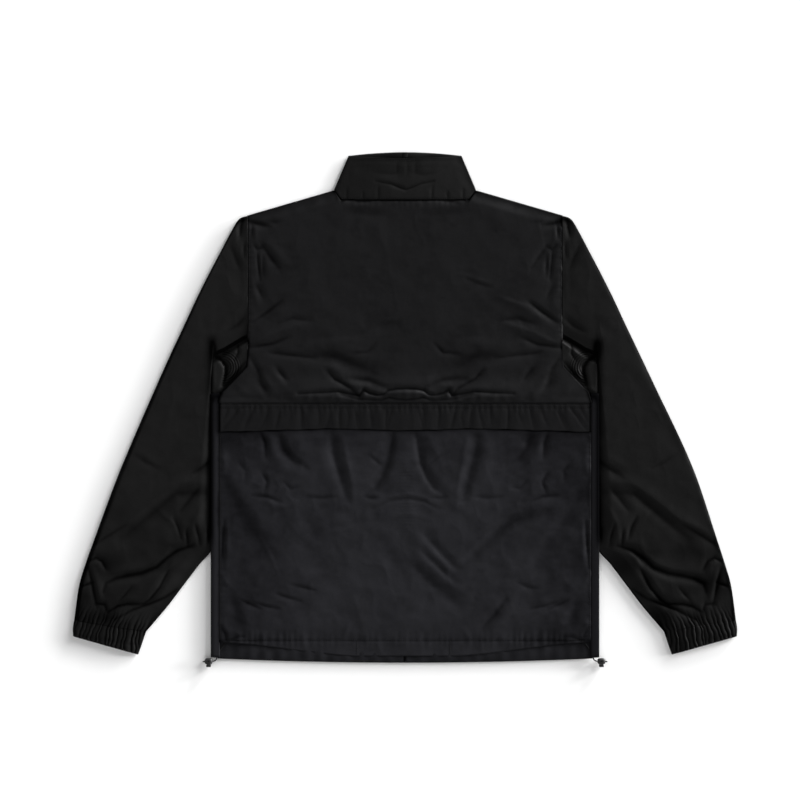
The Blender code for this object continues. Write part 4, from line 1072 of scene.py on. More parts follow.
def upper_painted_shade(points):
    # Painted shade of the upper back: in its creases, at the armhole seam, under the roll at the waist seam
    # and beside the side edges over the gussets
    x, y = points[:, :, 0], points[:, :, 1]
    armhole = hump(SHOULDER[0] - np.abs(x), 2.5) * ramp((y - BACK_SIDE[2][0]) / 40.0)
    waist = hump(y - WAIST_SEAM_Y + LAP, 2.0) * (1.0 - 0.7 * ramp((np.abs(x) - 60.0) / 70.0))
    gap = read_table(BACK_SIDE, y) - np.abs(x)
    underarm = hump(gap, 3.0) * ramp((BACK_SIDE[1][0] + 8.0 - y) / 10.0) * ramp((y - 2.0) / 6.0)
    # Random tone, then painted shade that darkens the shoulder slopes, most on the lit side
    clouds = 0.1 * lattice_noise(x, y, 34.0, 41) + 0.1 * lattice_noise(x, y, 14.0, 43)
    lit_side = np.where(x > 0.0, 0.65, 0.35)
    sloping = 1.0 - ramp((shoulder_line(x) - y) / EDGE_FALL)
    clouds += lit_side * sloping * ramp((np.abs(x) - COLLAR_SEAM_X) / 12.0)
    # Painted shade under the collar's edge and at the notch beside it
    tucked = ramp((y - back_top(x) + 0.8) / 1.0) * ramp((COLLAR_SEAM_X - np.abs(x)) / 4.0)
    notch = hump(back_top(x) - y, 3.0) * ramp((np.abs(x) - 88.0) / 6.0) * ramp((112.0 - np.abs(x)) / 6.0)
    shade = 0.85 * crease_painted_shade(UPPER_CREASES + ROLL_CREASES, x, y) + mottling(x, y, 45)
    return unit(shade + 0.45 * armhole + 0.4 * waist + 1.1 * underarm + notch + tucked + clouds)


def lower_painted_shade(points):
    x, y = points[:, :, 0], points[:, :, 1]
    # Painted shade of the lower back: darker towards the sides and up towards the flap, so that its middle
    # reads as sheen
    sides = 0.35 * ramp((np.abs(x) - 110.0) / 160.0) + 0.3 * ramp((y + 90.0) / 55.0)
    # Painted shadow under the flap's edge, and painted shade at the casing seam
    under = 0.8 * ramp((y - read_table(FLAP_EDGE, np.abs(x)) + 2.0) / 1.8)
    under += 0.5 * hump(y - CASING_STITCH_Y + 0.8, 1.8)
    # Painted shade along the side seams, most on the lit side
    lit_side = np.where(x > 0.0, 0.65, 0.1)
    under += lit_side * hump(SIDE_SEAM_X + 0.8 - np.abs(x), 2.2)
    # Random tone, added to the painted shade
    clouds = 0.12 * lattice_noise(x, y, 38.0, 29) + 0.08 * lattice_noise(x, y, 17.0, 31)
    return unit(0.68 * crease_painted_shade(LOWER_CREASES, x, y) + sides + under + clouds + mottling(x, y, 33))


def flap_painted_shade(points):
    x, y = points[:, :, 0], points[:, :, 1]
    # Painted shade of the flap: along its stitching and its puckered lines, a little all over and at its
    # ends; the clouds are random tone
    stitched = sum(hump(y - row, 1.6) for row in FLAP_STITCH_ROWS)
    clouds = 0.08 * lattice_noise(x, y, 15.0, 47)
    lines = 0.36 * crease_painted_shade(FLAP_CREASES, x, y)
    ends = ramp((np.abs(x) - FLAP_HALF + 4.0) / 3.0)
    return unit(lines + 0.15 * stitched + clouds + 0.1 + ends)


class WINDBREAKER_OT_back(bpy.types.Operator):
    """Sew the upper back, the lower back and the flap over the waist seam"""

    bl_idname = "windbreaker.back"
    bl_label = "Back"

    def execute(self, context):
        cloth = context.scene.windbreaker_cloth
        for part, grid, shade, material, rests_on in (
                ("upper", upper_grid, upper_painted_shade, "upper nylon", ("front_left", "front_right")),
                ("lower", lower_grid, lower_painted_shade, "lower nylon", ("front_left", "front_right")),
                ("flap", flap_grid, flap_painted_shade, "upper nylon", ("back_lower",))):
            points = grid(cloth)
            obj = sew_shell(f"back_{part}_cloth", points, cloth.wall, painted_shade=shade(points))
            dress_cloth(obj, points, material, f"back_{part}")
        return {"FINISHED"}


def zip_lift(x, y):
    """How far the front of the collar is held off the surface by the slider and its tab."""
    over = 1.0 - ramp((np.abs(x) - 6.4) / ZIP_LIFT_HALF)
    return ZIP_LIFT * over * ramp((y - ZIP_LIFT_START_Y) / ZIP_LIFT_RUN)


def neckline(x):
    far = np.abs(x)
    return np.where(far < NECK[0], read_table(NECKLINE, far), shoulder_line(x))


class WINDBREAKER_OT_collar(bpy.types.Operator):
    """Sew the stand collar: its back, and the two halves of its front"""

    bl_idname = "windbreaker.collar"
    bl_label = "Collar"

    def execute(self, context):
        cloth = context.scene.windbreaker_cloth
        up, across = crossed(spread(0.0, 1.0, 1.4 / 64.0), spread(-1.0, 1.0, 1.4 / 100.0))
        base_x = across * NECK[0]
        x = mix(base_x, across * COLLAR_TOP_HALF, up)
        top_y = COLLAR_TOP_SIDE_Y - COLLAR_BACK_DIP * (1.0 - across ** 2)
        y = mix(back_top(base_x) + SEAM, top_y, up)
        back = np.stack([x, y, collar_height(x, y, across, cloth)], -1)
        # Painted shade of the collar's back: in its creases, along its seam, at its side edges and along its
        # top rim
        seam = hump(y - back_top(x), 2.5)
        edge = ramp((np.abs(across) - 0.93) / 0.07)
        rim = hump(top_y - y, 2.5) * (1.0 - across ** 2)
        painted_shade = unit(crease_painted_shade(COLLAR_CREASES, x, y) + 0.6 * seam + 0.5 * edge + 0.7 * rim)
        obj = sew_shell("collar_back_cloth", back, cloth.wall, painted_shade=painted_shade)
        dress_cloth(obj, back, "sleeve nylon", "collar_back")
        for name, side in SIDES.items():
            up, across = crossed(spread(0.0, 1.0, 3.0 / 90.0), spread(0.0, 1.0, 2.6 / 100.0))
            base_x = mix(ZIP_EDGE, NECK[0], across)
            x = mix(base_x, mix(ZIP_EDGE, COLLAR_TOP_HALF, across), up)
            top_y = COLLAR_TOP_SIDE_Y + COLLAR_FRONT_RISE * (1.0 - across ** 2)
            y = mix(neckline(base_x) + SEAM, top_y, up)
            closing = ramp((y - SLIDER_TOP_Y) / 3.0) * (1.0 - across) ** 8
            x = mix(x, 0.15, closing)
            z = zip_lift(x, y) + 0.4 * cloth.rumple * (1.0 + lattice_noise(x, y, 24.0, 61))
            front = np.stack([side * x, y, z], -1)
            # Painted shadow on each front half just below the back's top edge
            shadow = hump(y - COLLAR_TOP_SIDE_Y + COLLAR_BACK_DIP * (1.0 - across ** 2), 5.0)
            painted_shade = 0.7 * shadow * (1.0 - across)
            obj = sew_shell(f"collar_front_{name}_cloth", front, cloth.wall, outside_up=False, painted_shade=painted_shade)
            dress_cloth(obj, front, "sleeve nylon", f"collar_front_{name}")
        return {"FINISHED"}


def front_section(half_width, curl):
    """Points (x, z) of a front's outer face: flat from the zip, then rolled round the side by the curl."""
    flat_end = mix(ZIP_EDGE, half_width, FRONT_SECTION[0][0])
    flat = np.stack([np.linspace(ZIP_EDGE, flat_end, FRONT_FLAT_POINTS), np.zeros(FRONT_FLAT_POINTS)], -1)
    bends = []
    for share, inset, height in FRONT_SECTION:
        level = np.array([mix(ZIP_EDGE, half_width, share), 0.0])
        if inset is None:
            bends.append(level)
        else:
            bends.append(mix(level, np.array([half_width - inset, height]), curl))
    return np.concatenate([flat[:-1], smooth_path(bends, FRONT_CURL_STEPS)])


def sew_hem_band(name, side, cloth):
    """The turned-up hem of a front, which shows below the back's hem: over the cord, round and under."""
    turn = np.array(HEM_TURN)
    x = spread(-1.2, HEM_BAND_END, 2.4)
    lap = 0.25 * side * (1.0 - ramp(x / 8.0))
    rows = []
    for inset, height in smooth_path(turn, 4):
        wave = 0.25 * np.sin(x * 0.31 + 0.4 * np.sin(x * 0.05)) * min(height, 3.0) / 3.0
        rows.append(np.stack([side * x, front_hem(x) + inset, height + wave + lap], -1))
    band = np.array(rows)
    # Painted shade of the hem band, with random tone, darkest at its end by the zip
    ends = 1.0 - ramp((x[None, :] - 0.5) / 3.0)
    painted_shade = unit(0.3 + 0.2 * lattice_noise(band[:, :, 0], band[:, :, 1], 12.0, 93) + 0.6 * ends)
    obj = sew_shell(f"hem_band_{name}", band, cloth.wall, painted_shade=painted_shade)
    dress_cloth(obj, band, "lower nylon")


class WINDBREAKER_OT_fronts(bpy.types.Operator):
    """Sew the two fronts, which lie on the surface and roll round the sides"""

    bl_idname = "windbreaker.fronts"
    bl_label = "Fronts"

    def execute(self, context):
        cloth = context.scene.windbreaker_cloth
        levels = np.concatenate([spread(HEM_CENTRE_Y, 20.0, 5.0), [22.2, 24.5], spread(29.0, 230.0, 5.0)])
        tops = spread(0.0, 1.0, 5.0 / 70.0)[1:]
        for name, side in SIDES.items():
            rows = []
            for level in levels:
                section = front_section(read_table(FRONT_SIDE, level), read_table(FRONT_CURL, level))
                share = ramp((level - HEM_CENTRE_Y) / 60.0)
                y = level + (1.0 - share) * (front_hem(section[:, 0]) - HEM_CENTRE_Y)
                rows.append(np.stack([side * section[:, 0], y, section[:, 1]], -1))
            for share in tops:
                section = front_section(SHOULDER[0] - SEAM, 0.0)
                y = mix(levels[-1], neckline(section[:, 0]), share)
                rows.append(np.stack([side * section[:, 0], y, section[:, 1]], -1))
            front = np.array(rows)
            x = np.abs(front[:, :, 0])
            y = front[:, :, 1]
            z = front[:, :, 2]
            level = 1.0 - ramp((x - 200.0) / 40.0)
            pressed = crease_height(FRONT_CREASES, x, y) * cloth.crease
            edge = ramp((x - ZIP_EDGE) / 20.0)
            waves = 0.3 * cloth.rumple * (1.0 + lattice_noise(x, y, 40.0, 71 + side))
            z += level * edge * (pressed + waves)
            stitch = y - CASING_STITCH_Y
            z += 0.15 * (1.0 + np.sin(front[:, :, 0] * 0.5)) * hump(stitch, 18.0) * level
            # Painted shade of a front: a little all over, where its roll lies under the back's edge, on the
            # roll's top above the waist seam, and on the roll's outer side, most beside the sleeves and on
            # the lit side; its inner face is painted fully dark
            lapped = ramp((282.0 - x) / 2.0) * ramp((z - 2.5) / 1.0)
            roll_top = ramp((y - 6.0) / 10.0) * ramp((z - 0.4) / 0.8)
            rolled = ramp((z - 1.0) / 2.0)
            beside_sleeve = ramp((y + 225.0) / 40.0)
            lit_side = 0.35 if side > 0 else 0.1
            outward = ramp((x - 282.0) / 8.0) * (lit_side + 0.55 * beside_sleeve)
            painted_shade = 0.3 + rolled * outward + roll_top * ramp((x - 266.0) / 8.0) + lit_side * lapped
            obj = sew_shell(f"front_{name}_cloth", front, cloth.wall, painted_shade=unit(painted_shade),
                            inner_painted_shade=np.ones(painted_shade.shape))
            dress_cloth(obj, front, "lower nylon", f"front_{name}")
            sew_hem_band(name, side, cloth)
        return {"FINISHED"}


def tube_grid(stations, side, top_count, rest_count, shape, under=None):
    """Rings of a tube that lies flat: its upper face, outer rim, the side that it rests on, inner rim."""
    rings = []
    shares = np.linspace(0.0, 1.0, top_count)
    for outer_x, outer_y, inner_x, inner_y, loft in stations:
        start = np.array([side * inner_x, inner_y])
        end = np.array([side * outer_x, outer_y])
        width = np.linalg.norm(end - start)
        run = (end - start) / width
        distance = mix(TUBE_EDGE, width - TUBE_EDGE, shares)
        top = start + run * distance[:, None]
        inner = mix(INNER_FALL[0], loft, ramp((distance - TUBE_EDGE) / INNER_FALL[1]))
        outer = mix(OUTER_FALL[0], loft, ramp((width - distance - TUBE_EDGE) / OUTER_FALL[1]))
        near = np.minimum(distance, width - distance)
        height = np.minimum(inner, outer) + shape(top[:, 0], top[:, 1], shares, near)
        rest = start + run * np.linspace(width - TUBE_EDGE, TUBE_EDGE, rest_count)[:, None]
        tuck = run * RIM_TUCKS[:, None]
        plan = np.concatenate([top, end - tuck, rest, start + tuck])
        low = np.zeros(rest_count)
        if under is not None:
            low = under(rest[:, 0], rest[:, 1], np.linspace(1.0, 0.0, rest_count))
        rise = np.concatenate([height, RIM_HEIGHTS, low, RIM_HEIGHTS[::-1]])
        rings.append(np.concatenate([plan, rise[:, None]], axis=1))
    return np.array(rings)


def gather_marks(seed):
    """Places across a wrist where its gathers meet, and the size of each gather."""
    draws = np.random.default_rng(seed)
    marks = (np.arange(CUFF_GATHERS + 1) + draws.uniform(-0.34, 0.34, CUFF_GATHERS + 1)) / CUFF_GATHERS
    marks[0] = 0.0
    marks[-1] = 1.0
    return marks, draws.uniform(0.5, 1.2, CUFF_GATHERS)


def gather_height(shares, marks, sizes):
    """Puffed ridges with sharp dips where gathers meet."""
    held = np.clip(shares, 0.0, 0.9999)
    cell = np.clip(np.searchsorted(marks, held, side="right") - 1, 0, CUFF_GATHERS - 1)
    part = (held - marks[cell]) / (marks[cell + 1] - marks[cell])
    return GATHER_LIFT * sizes[cell] * (unit(4.0 * part * (1.0 - part)) ** 0.6 - 0.5)


def gather_shares(shares, rise):
    """Shares across a wrist as its gathers run: fanned out above the cuff, and wavering."""
    waver = 0.009 * np.sin(0.16 * rise + 11.0 * shares) + 0.004 * np.sin(0.4 * rise - 23.0 * shares)
    return shares + 0.005 * (shares - 0.5) * np.clip(rise, -30.0, 30.0) + waver


def gather_depth_and_shade(shares, rise, marks, sizes):
    """How deep between two gathers each place lies, from 0 to 1: it shapes the cuff's resting side and is
    painted as shade.
    """
    return unit(0.62 - 0.9 * gather_height(gather_shares(shares, rise), marks, sizes) / GATHER_LIFT)


def tube_shares(grid, top_count):
    """Share across the upper face of each point of a tube, and 0 on the rest of it."""
    shares = np.zeros(grid.shape[:2])
    shares[:, :top_count] = np.linspace(0.0, 1.0, top_count)
    return shares


def above_cuff(x, y):
    """Distance of a place on a sleeve from the seam of its cuff."""
    outer_x, outer_y, inner_x, inner_y, _loft = SLEEVE_STATIONS[-1]
    run = np.array([inner_x - outer_x, inner_y - outer_y])
    run = run / np.linalg.norm(run)
    return (np.abs(x) - outer_x) * run[1] - (y - outer_y) * run[0]


def sleeve_painted_shade(sleeve, marks, sizes):
    """Painted shade of a sleeve, from 0 to 1: in creases and gathers, towards the wrist, beside the body, at
    the armpit, on its rims; some random tone.
    """
    x, y = sleeve[:, :, 0], sleeve[:, :, 1]
    rise = above_cuff(x, y)
    shares = tube_shares(sleeve, SLEEVE_TOP_POINTS)
    painted_shade = 0.9 * crease_painted_shade(SLEEVE_CREASES, np.abs(x), y)
    painted_shade += gather_depth_and_shade(shares, rise, marks, sizes) * hump(rise, 19.0)
    painted_shade += ramp((-y - 110.0) / 150.0) * (0.26 + 0.3 * lattice_noise(x, y, 26.0, 87))
    painted_shade += 0.1 * lattice_noise(x, y, 30.0, 53) + 0.08 * lattice_noise(x, y, 13.0, 57)
    # Painted shadow in the hollow beside the body
    beside = hump(np.abs(x) - BODY_HALF, 7.0) * ramp((114.0 - y) / 20.0) * ramp((y + 215.0) / 30.0)
    # Painted shade along the outer rim and at the armpit corner
    outer = ramp((shares - 0.955) / 0.04)
    outer[:, SLEEVE_TOP_POINTS:SLEEVE_TOP_POINTS + RIM] = 1.0
    corner = np.exp(-((np.abs(x) - 286.0) / 5.0) ** 2 - ((y - 86.0) / 15.0) ** 2)
    painted_shade = unit(painted_shade + 0.8 * beside + 0.8 * outer + 0.9 * corner)
    # Painted shade on the side that rests on the surface
    painted_shade[:, SLEEVE_TOP_POINTS + RIM:-RIM] = 0.15
    # Painted shade on the inner rim beside the body
    inner_rim = ramp((114.0 - y) / 10.0) * ramp((y + 215.0) / 30.0)
    for columns in (slice(-RIM, None), slice(0, 3)):
        painted_shade[:, columns] = np.maximum(painted_shade[:, columns], inner_rim[:, columns])
    return painted_shade


def sew_sleeve(name, side, cloth):
    """A sleeve that lies flat, gathered into its cuff; the right one lies a little fuller."""
    marks, sizes = gather_marks(101 + side)

    def sleeve_shape(x, y, shares, near):
        height = cloth.crease * crease_height(SLEEVE_CREASES, np.abs(x), y)
        height += cloth.rumple * rumple_height(x, y, 81 + side)
        rise = above_cuff(x, y)
        gathers = gather_height(gather_shares(shares, rise), marks, sizes)
        height += gathers * np.exp(-np.clip(rise / 17.0, 0.0, None) ** 2)
        return ramp(near / mix(7.0, 12.0, ramp(rise / 20.0))) * height

    stations = smooth_path(SLEEVE_STATIONS, SLEEVE_STEPS)
    if side > 0:
        stations[:, 0] += FULLER * hump(stations[:, 1] + 85.0, 105.0)
    sleeve = tube_grid(stations, side, SLEEVE_TOP_POINTS, SLEEVE_REST_POINTS, sleeve_shape)
    painted_shade = sleeve_painted_shade(sleeve, marks, sizes)
    obj = sew_shell(f"sleeve_{name}_cloth", sleeve, cloth.wall, closed=True, painted_shade=painted_shade)
    dress_cloth(obj, sleeve, "sleeve nylon", f"sleeve_{name}", closed=True)


def sew_gusset(name, side, cloth):
    """The bunched gusset under an arm: fine pleats round a centre, and a few deep folds."""
    down, across = crossed(np.linspace(0.0, 1.0, 76), np.linspace(0.0, 1.0, 90))
    arm = along_path(GUSSET_ARM_EDGE, across[0])[None]
    back = along_path(GUSSET_BACK_EDGE, across[0])[None]
    plan = mix(arm, back, down[:, :, None])
    x, y = plan[:, :, 0], plan[:, :, 1]
    reach = np.hypot(x - GUSSET_PLEAT_CENTRE[0], y - GUSSET_PLEAT_CENTRE[1])
    pleat = np.sin(2.0 * np.pi * reach / GUSSET_PLEAT + 2.0 * across)
    folded = ramp((reach - 7.0) / 5.0) * (1.0 - ramp((reach - 23.0) / 8.0)) * ramp((276.0 - x) / 6.0)
    rise = BACK_LOFT - 0.6 + 0.35 * pleat * folded
    rise += cloth.crease * crease_height(GUSSET_CREASES, x, y)
    rise += 0.6 * cloth.rumple * rumple_height(x, y, 91)
    rise = mix(2.2, rise, ramp((down - 0.07) / 0.18))
    rise = mix(rise, 4.4, ramp((down - 0.86) / 0.14))
    rise = mix(rise, 3.3, ramp((x - 285.0) / 7.0))
    rise = np.maximum(rise, 1.8)
    gusset = np.stack([side * x, y, rise], -1)
    # Painted shade of the gusset: in its folds and between its pleats, along its edges under the sleeve and
    # the back, and at its outer end
    painted_shade = crease_painted_shade(GUSSET_CREASES, x, y) + 0.22 * (1.0 - pleat) * folded
    painted_shade += 0.7 * (1.0 - ramp((down - 0.12) / 0.12)) + 0.65 * ramp((down - 0.87) / 0.12)
    painted_shade += ramp((x - 286.5) / 3.5)
    obj = sew_shell(f"gusset_{name}_cloth", gusset, cloth.wall, painted_shade=unit(painted_shade))
    dress_cloth(obj, gusset, "sleeve nylon", f"gusset_{name}")


class WINDBREAKER_OT_sleeves(bpy.types.Operator):
    """Sew the sleeves, which lie flat beside the body, and the gussets under the arms"""

    bl_idname = "windbreaker.sleeves"
    bl_label = "Sleeves and gussets"

    def execute(self, context):
        cloth = context.scene.windbreaker_cloth
        for name, side in SIDES.items():
            sew_sleeve(name, side, cloth)
            sew_gusset(name, side, cloth)
        return {"FINISHED"}


class WINDBREAKER_OT_cuffs(bpy.types.Operator):
    """Sew the cuffs, gathered on elastic"""

    bl_idname = "windbreaker.cuffs"
    bl_label = "Cuffs"

    def execute(self, context):
        cloth = context.scene.windbreaker_cloth
        for name, side in SIDES.items():
            marks, sizes = gather_marks(101 + side)

            def cuff_shape(x, y, shares, near):
                rise = above_cuff(x, y)
                pinch = 0.4 * hump(rise + 22.0, 2.5)
                return ramp(near / 7.0) * (gather_height(gather_shares(shares, rise), marks, sizes) - pinch)

            def cuff_under(x, y, shares):
                between = gather_depth_and_shade(1.0 - shares, above_cuff(x, y), marks, sizes)
                return 1.1 * between * ramp(4.0 * shares * (1.0 - shares) / 0.3)

            stations = smooth_path(CUFF_STATIONS, CUFF_STEPS)
            cuff = tube_grid(stations, side, CUFF_TOP_POINTS, CUFF_REST_POINTS, cuff_shape, cuff_under)
            shares = tube_shares(cuff, CUFF_TOP_POINTS)
            shares[:, CUFF_TOP_POINTS + RIM:-RIM] = np.linspace(0.0, 1.0, CUFF_REST_POINTS)
            # Painted shade between the gathers
            painted_shade = gather_depth_and_shade(shares, above_cuff(cuff[:, :, 0], cuff[:, :, 1]), marks, sizes)
            obj = sew_shell(f"cuff_{name}_cloth", cuff, cloth.wall, closed=True, painted_shade=painted_shade)
            dress_cloth(obj, cuff, "cuff nylon", f"cuff_{name}", closed=True)
        return {"FINISHED"}


def stitch_row(path, pitch, length, thick):
    """Corners and faces of a row of stitches on a path: each one a short spindle that lies along it."""
    count = max(1, int(chord_lengths(path)[-1] / pitch))
    centres = (np.arange(count) + 0.5) * pitch
    place = points_at(path, centres)
    run = points_at(path, centres + 0.5) - place
    run /= np.maximum(np.linalg.norm(run, axis=1), 1e-6)[:, None]
    aside = np.cross(run, np.array([0.0, 0.0, 1.0]))
    up = np.cross(aside, run)
    points = [place - run * length / 2.0]
    for share in (-0.3, 0.3):
        for turn in range(4):
            angle = np.pi / 2.0 * turn
            ring = aside * math.cos(angle) + up * math.sin(angle)
            points.append(place + run * length * share + ring * thick / 2.0)
    points.append(place + run * length / 2.0)
    corners = np.stack(points, 1)
    faces = []
    for turn in range(4):
        following = (turn + 1) % 4
        faces.append((0, 1 + following, 1 + turn))
        faces.append((1 + turn, 1 + following, 5 + following))
        faces.append((1 + turn, 5 + following, 5 + turn))
        faces.append((9, 5 + turn, 5 + following))
    all_faces = (np.arange(count)[:, None, None] * 10 + np.array(faces)[None]).reshape(-1, 3)
    return corners.reshape(-1, 3), all_faces


def stitch_mesh(name, paths, sizes=STITCH, material="spun thread"):
    """One object of many rows of stitches, each with a pitch, a length and a thickness."""
    points = []
    faces = []
    passed = 0
    for path in paths:
        corners, row_faces = stitch_row(path, *sizes)
        points.append(corners)
        faces.append(row_faces + passed)
        passed += len(corners)
    mesh = bpy.data.meshes.new(name)
    mesh.from_pydata((np.concatenate(points) * MM).tolist(), [], np.concatenate(faces).tolist())
    mesh.shade_smooth()
    obj = bpy.data.objects.new(name, mesh)
    bpy.context.collection.objects.link(obj)
    dress(obj, material)


def on_cloth(x, y, height, *details):
    """Points just above a cloth, whose height at a place the function gives."""
    return np.stack([x, y, height(x, y, *details) + 0.12], -1)


class WINDBREAKER_OT_stitching(bpy.types.Operator):
    """Sew the rows of stitches that show on the back, the flap, the collar and the hem"""

    bl_idname = "windbreaker.stitching"
    bl_label = "Stitching"

    def execute(self, context):
        cloth = context.scene.windbreaker_cloth
        x = spread(-FLAP_HALF + 3.0, FLAP_HALF - 3.0, 2.0)
        rows = [on_cloth(x, np.full(len(x), row), flap_height, cloth) for row in FLAP_STITCH_ROWS]
        stitch_mesh("flap_stitches", rows)
        x = spread(-SIDE_SEAM_X + 12.0, SIDE_SEAM_X - 12.0, 2.0)
        rows = [on_cloth(x, np.full(len(x), CASING_STITCH_Y), lower_height, cloth)]
        for place in CASING_BARS:
            y = spread(CASING_STITCH_Y - 1.0, float(back_hem(place)) + 1.5, 1.0)
            rows.append(on_cloth(np.full(len(y), place), y, lower_height, cloth))
        stitch_mesh("hem_stitches", rows)
        y = spread(262.0, 110.0, 2.0)
        edge = SHOULDER[0] - STITCH_INSET
        stitch_mesh("armhole_stitches", [
            on_cloth(np.full(len(y), side * edge), y, upper_height, cloth) for side in SIDES.values()])
        y = spread(FLAP_EDGE[-1][1] - 4.0, BACK_HEM_SIDE_Y + 6.0, 2.0)
        edge = SIDE_SEAM_X - STITCH_INSET
        stitch_mesh("side_stitches", [
            on_cloth(np.full(len(y), side * edge), y, lower_height, cloth) for side in SIDES.values()])
        x = spread(-COLLAR_SEAM_X, COLLAR_SEAM_X, 2.0)
        y = np.full(len(x), COLLAR_SEAM_Y + 2.6)
        rows = [on_cloth(x, y, collar_height, x / mix(NECK[0], COLLAR_TOP_HALF, 0.04), cloth)]
        shares = spread(-0.97, 0.97, 0.02)
        x = shares * (COLLAR_TOP_HALF + 1.0)
        y = COLLAR_TOP_SIDE_Y - COLLAR_BACK_DIP * (1.0 - shares ** 2) - 3.2
        rows.append(on_cloth(x, y, collar_height, shares, cloth))
        stitch_mesh("collar_stitches", rows)
        return {"FINISHED"}


def place_piece(obj, material, node, body=GARMENT):
    """Applies a modelled piece's place, smooths it between its edges and dresses it."""
    only(obj)
    bpy.ops.object.transform_apply(location=True, rotation=True, scale=True)
    bpy.ops.object.shade_smooth_by_angle(angle=math.radians(40.0))
    obj.data.materials.clear()
    dress(obj, material, node, body)


def node_box(node):
    """Centre and size of a CAD node, in millimetres."""
    low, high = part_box(node)
    return [(a + b) / 2.0 / MM for a, b in zip(low, high)], [(b - a) / MM for a, b in zip(low, high)]


def rounded_block(name, centre, size, bevel, segments=3):
    """Cube of a size at a place, in millimetres, with its edges rounded."""
    bpy.ops.object.select_all(action="DESELECT")
    bpy.ops.mesh.primitive_cube_add(size=MM, location=[value * MM for value in centre])
    obj = bpy.context.active_object
    obj.name = name
    obj.scale = size
    bpy.ops.object.transform_apply(location=False, rotation=False, scale=True)
    round_edges = obj.modifiers.new("round", "BEVEL")
    round_edges.width = bevel * MM
    round_edges.segments = segments
    apply_modifiers(obj)
    return obj


def combine(obj, other, operation="DIFFERENCE"):
    """Takes another piece's shape out of a piece, or joins it on."""
    boolean = obj.modifiers.new("combine", "BOOLEAN")
    boolean.operation = operation
    boolean.object = other
    apply_modifiers(obj)
    bpy.data.objects.remove(other, do_unlink=True)


def drill(obj, centre, radius, depth, turn=0.0):
    """Takes a round hole out of a piece, along Z or turned from it about Y."""
    bpy.ops.object.select_all(action="DESELECT")
    bpy.ops.mesh.primitive_cylinder_add(
        vertices=24, radius=radius * MM, depth=depth * MM, location=[value * MM for value in centre],
        rotation=(0.0, turn, 0.0))
    combine(obj, bpy.context.active_object)


class WINDBREAKER_OT_zip(bpy.types.Operator):
    """Make the zip: tape with teeth, slider and pull tab"""

    bl_idname = "windbreaker.zip"
    bl_label = "Zip"

    def execute(self, context):
        hardware = context.scene.windbreaker_hardware
        y, x = crossed(spread(HEM_CENTRE_Y + 0.1, TAPE_TOP_Y, 3.0), TAPE_COLUMNS)
        tape = np.stack([x, y, zip_lift(x, y) + 1.25], -1)
        y, x = crossed(spread(372.5, 381.2, 1.2), TAPE_END_COLUMNS)
        tucked = ramp((np.abs(x) - 1.4) / 1.6) + ramp((374.0 - y) / 1.5)
        tape_end = np.stack([x * 1.6, y, zip_lift(x, y) + 1.2 - 0.8 * unit(tucked)], -1)
        # Painted shade on the tape's end, darkest where it is tucked under
        end = sew_shell("zip_tape_end", tape_end, TAPE_WALL, painted_shade=unit(0.35 + tucked))
        dress(end, "sleeve nylon")
        dress(sew_shell("zip_tape", tape, TAPE_WALL), "upper nylon", "zip_chain")
        rows = []
        for side, shift in ((-1.0, 0.0), (1.0, hardware.tooth / 2.0)):
            for place in np.arange(HEM_CENTRE_Y + 2.0, TEETH_TOP_Y, hardware.tooth) + shift:
                base = float(zip_lift(0.0, place)) + 0.42
                rows.append(np.array([[side * 2.2, place, base], [side * -0.6, place, base]]))
        stitch_mesh("zip_teeth", rows, TOOTH, "moulded acetal")
        middle = node_box("zip_slider")[0]
        slider = rounded_block("zip_slider_body", (0.0, middle[1], 3.5), (6.4, 14.5, 3.4), 0.7)
        combine(slider, rounded_block("slot_cut", (0.0, middle[1] - 3.6, 3.5), (9.0, 14.5, 1.8), 0.2))
        combine(slider, rounded_block("lug", (0.0, LUG_Y, 1.25), (1.8, 4.0, 1.9), 0.3), "UNION")
        place_piece(slider, "painted zinc", "zip_slider")
        tab = rounded_block("zip_pull_tab_body", (0.0, 351.3, 0.7), (5.6, 24.6, 0.8), 0.3)
        combine(tab, rounded_block("fork_cut", (0.0, 361.8, 0.7), (2.4, 4.6, 3.0), 0.2))
        combine(tab, rounded_block("grip_cut", (0.0, 344.5, 0.3), (3.0, 5.6, 0.5), 0.2))
        place_piece(tab, "painted zinc", "zip_pull_tab", PULL_TAB)
        return {"FINISHED"}


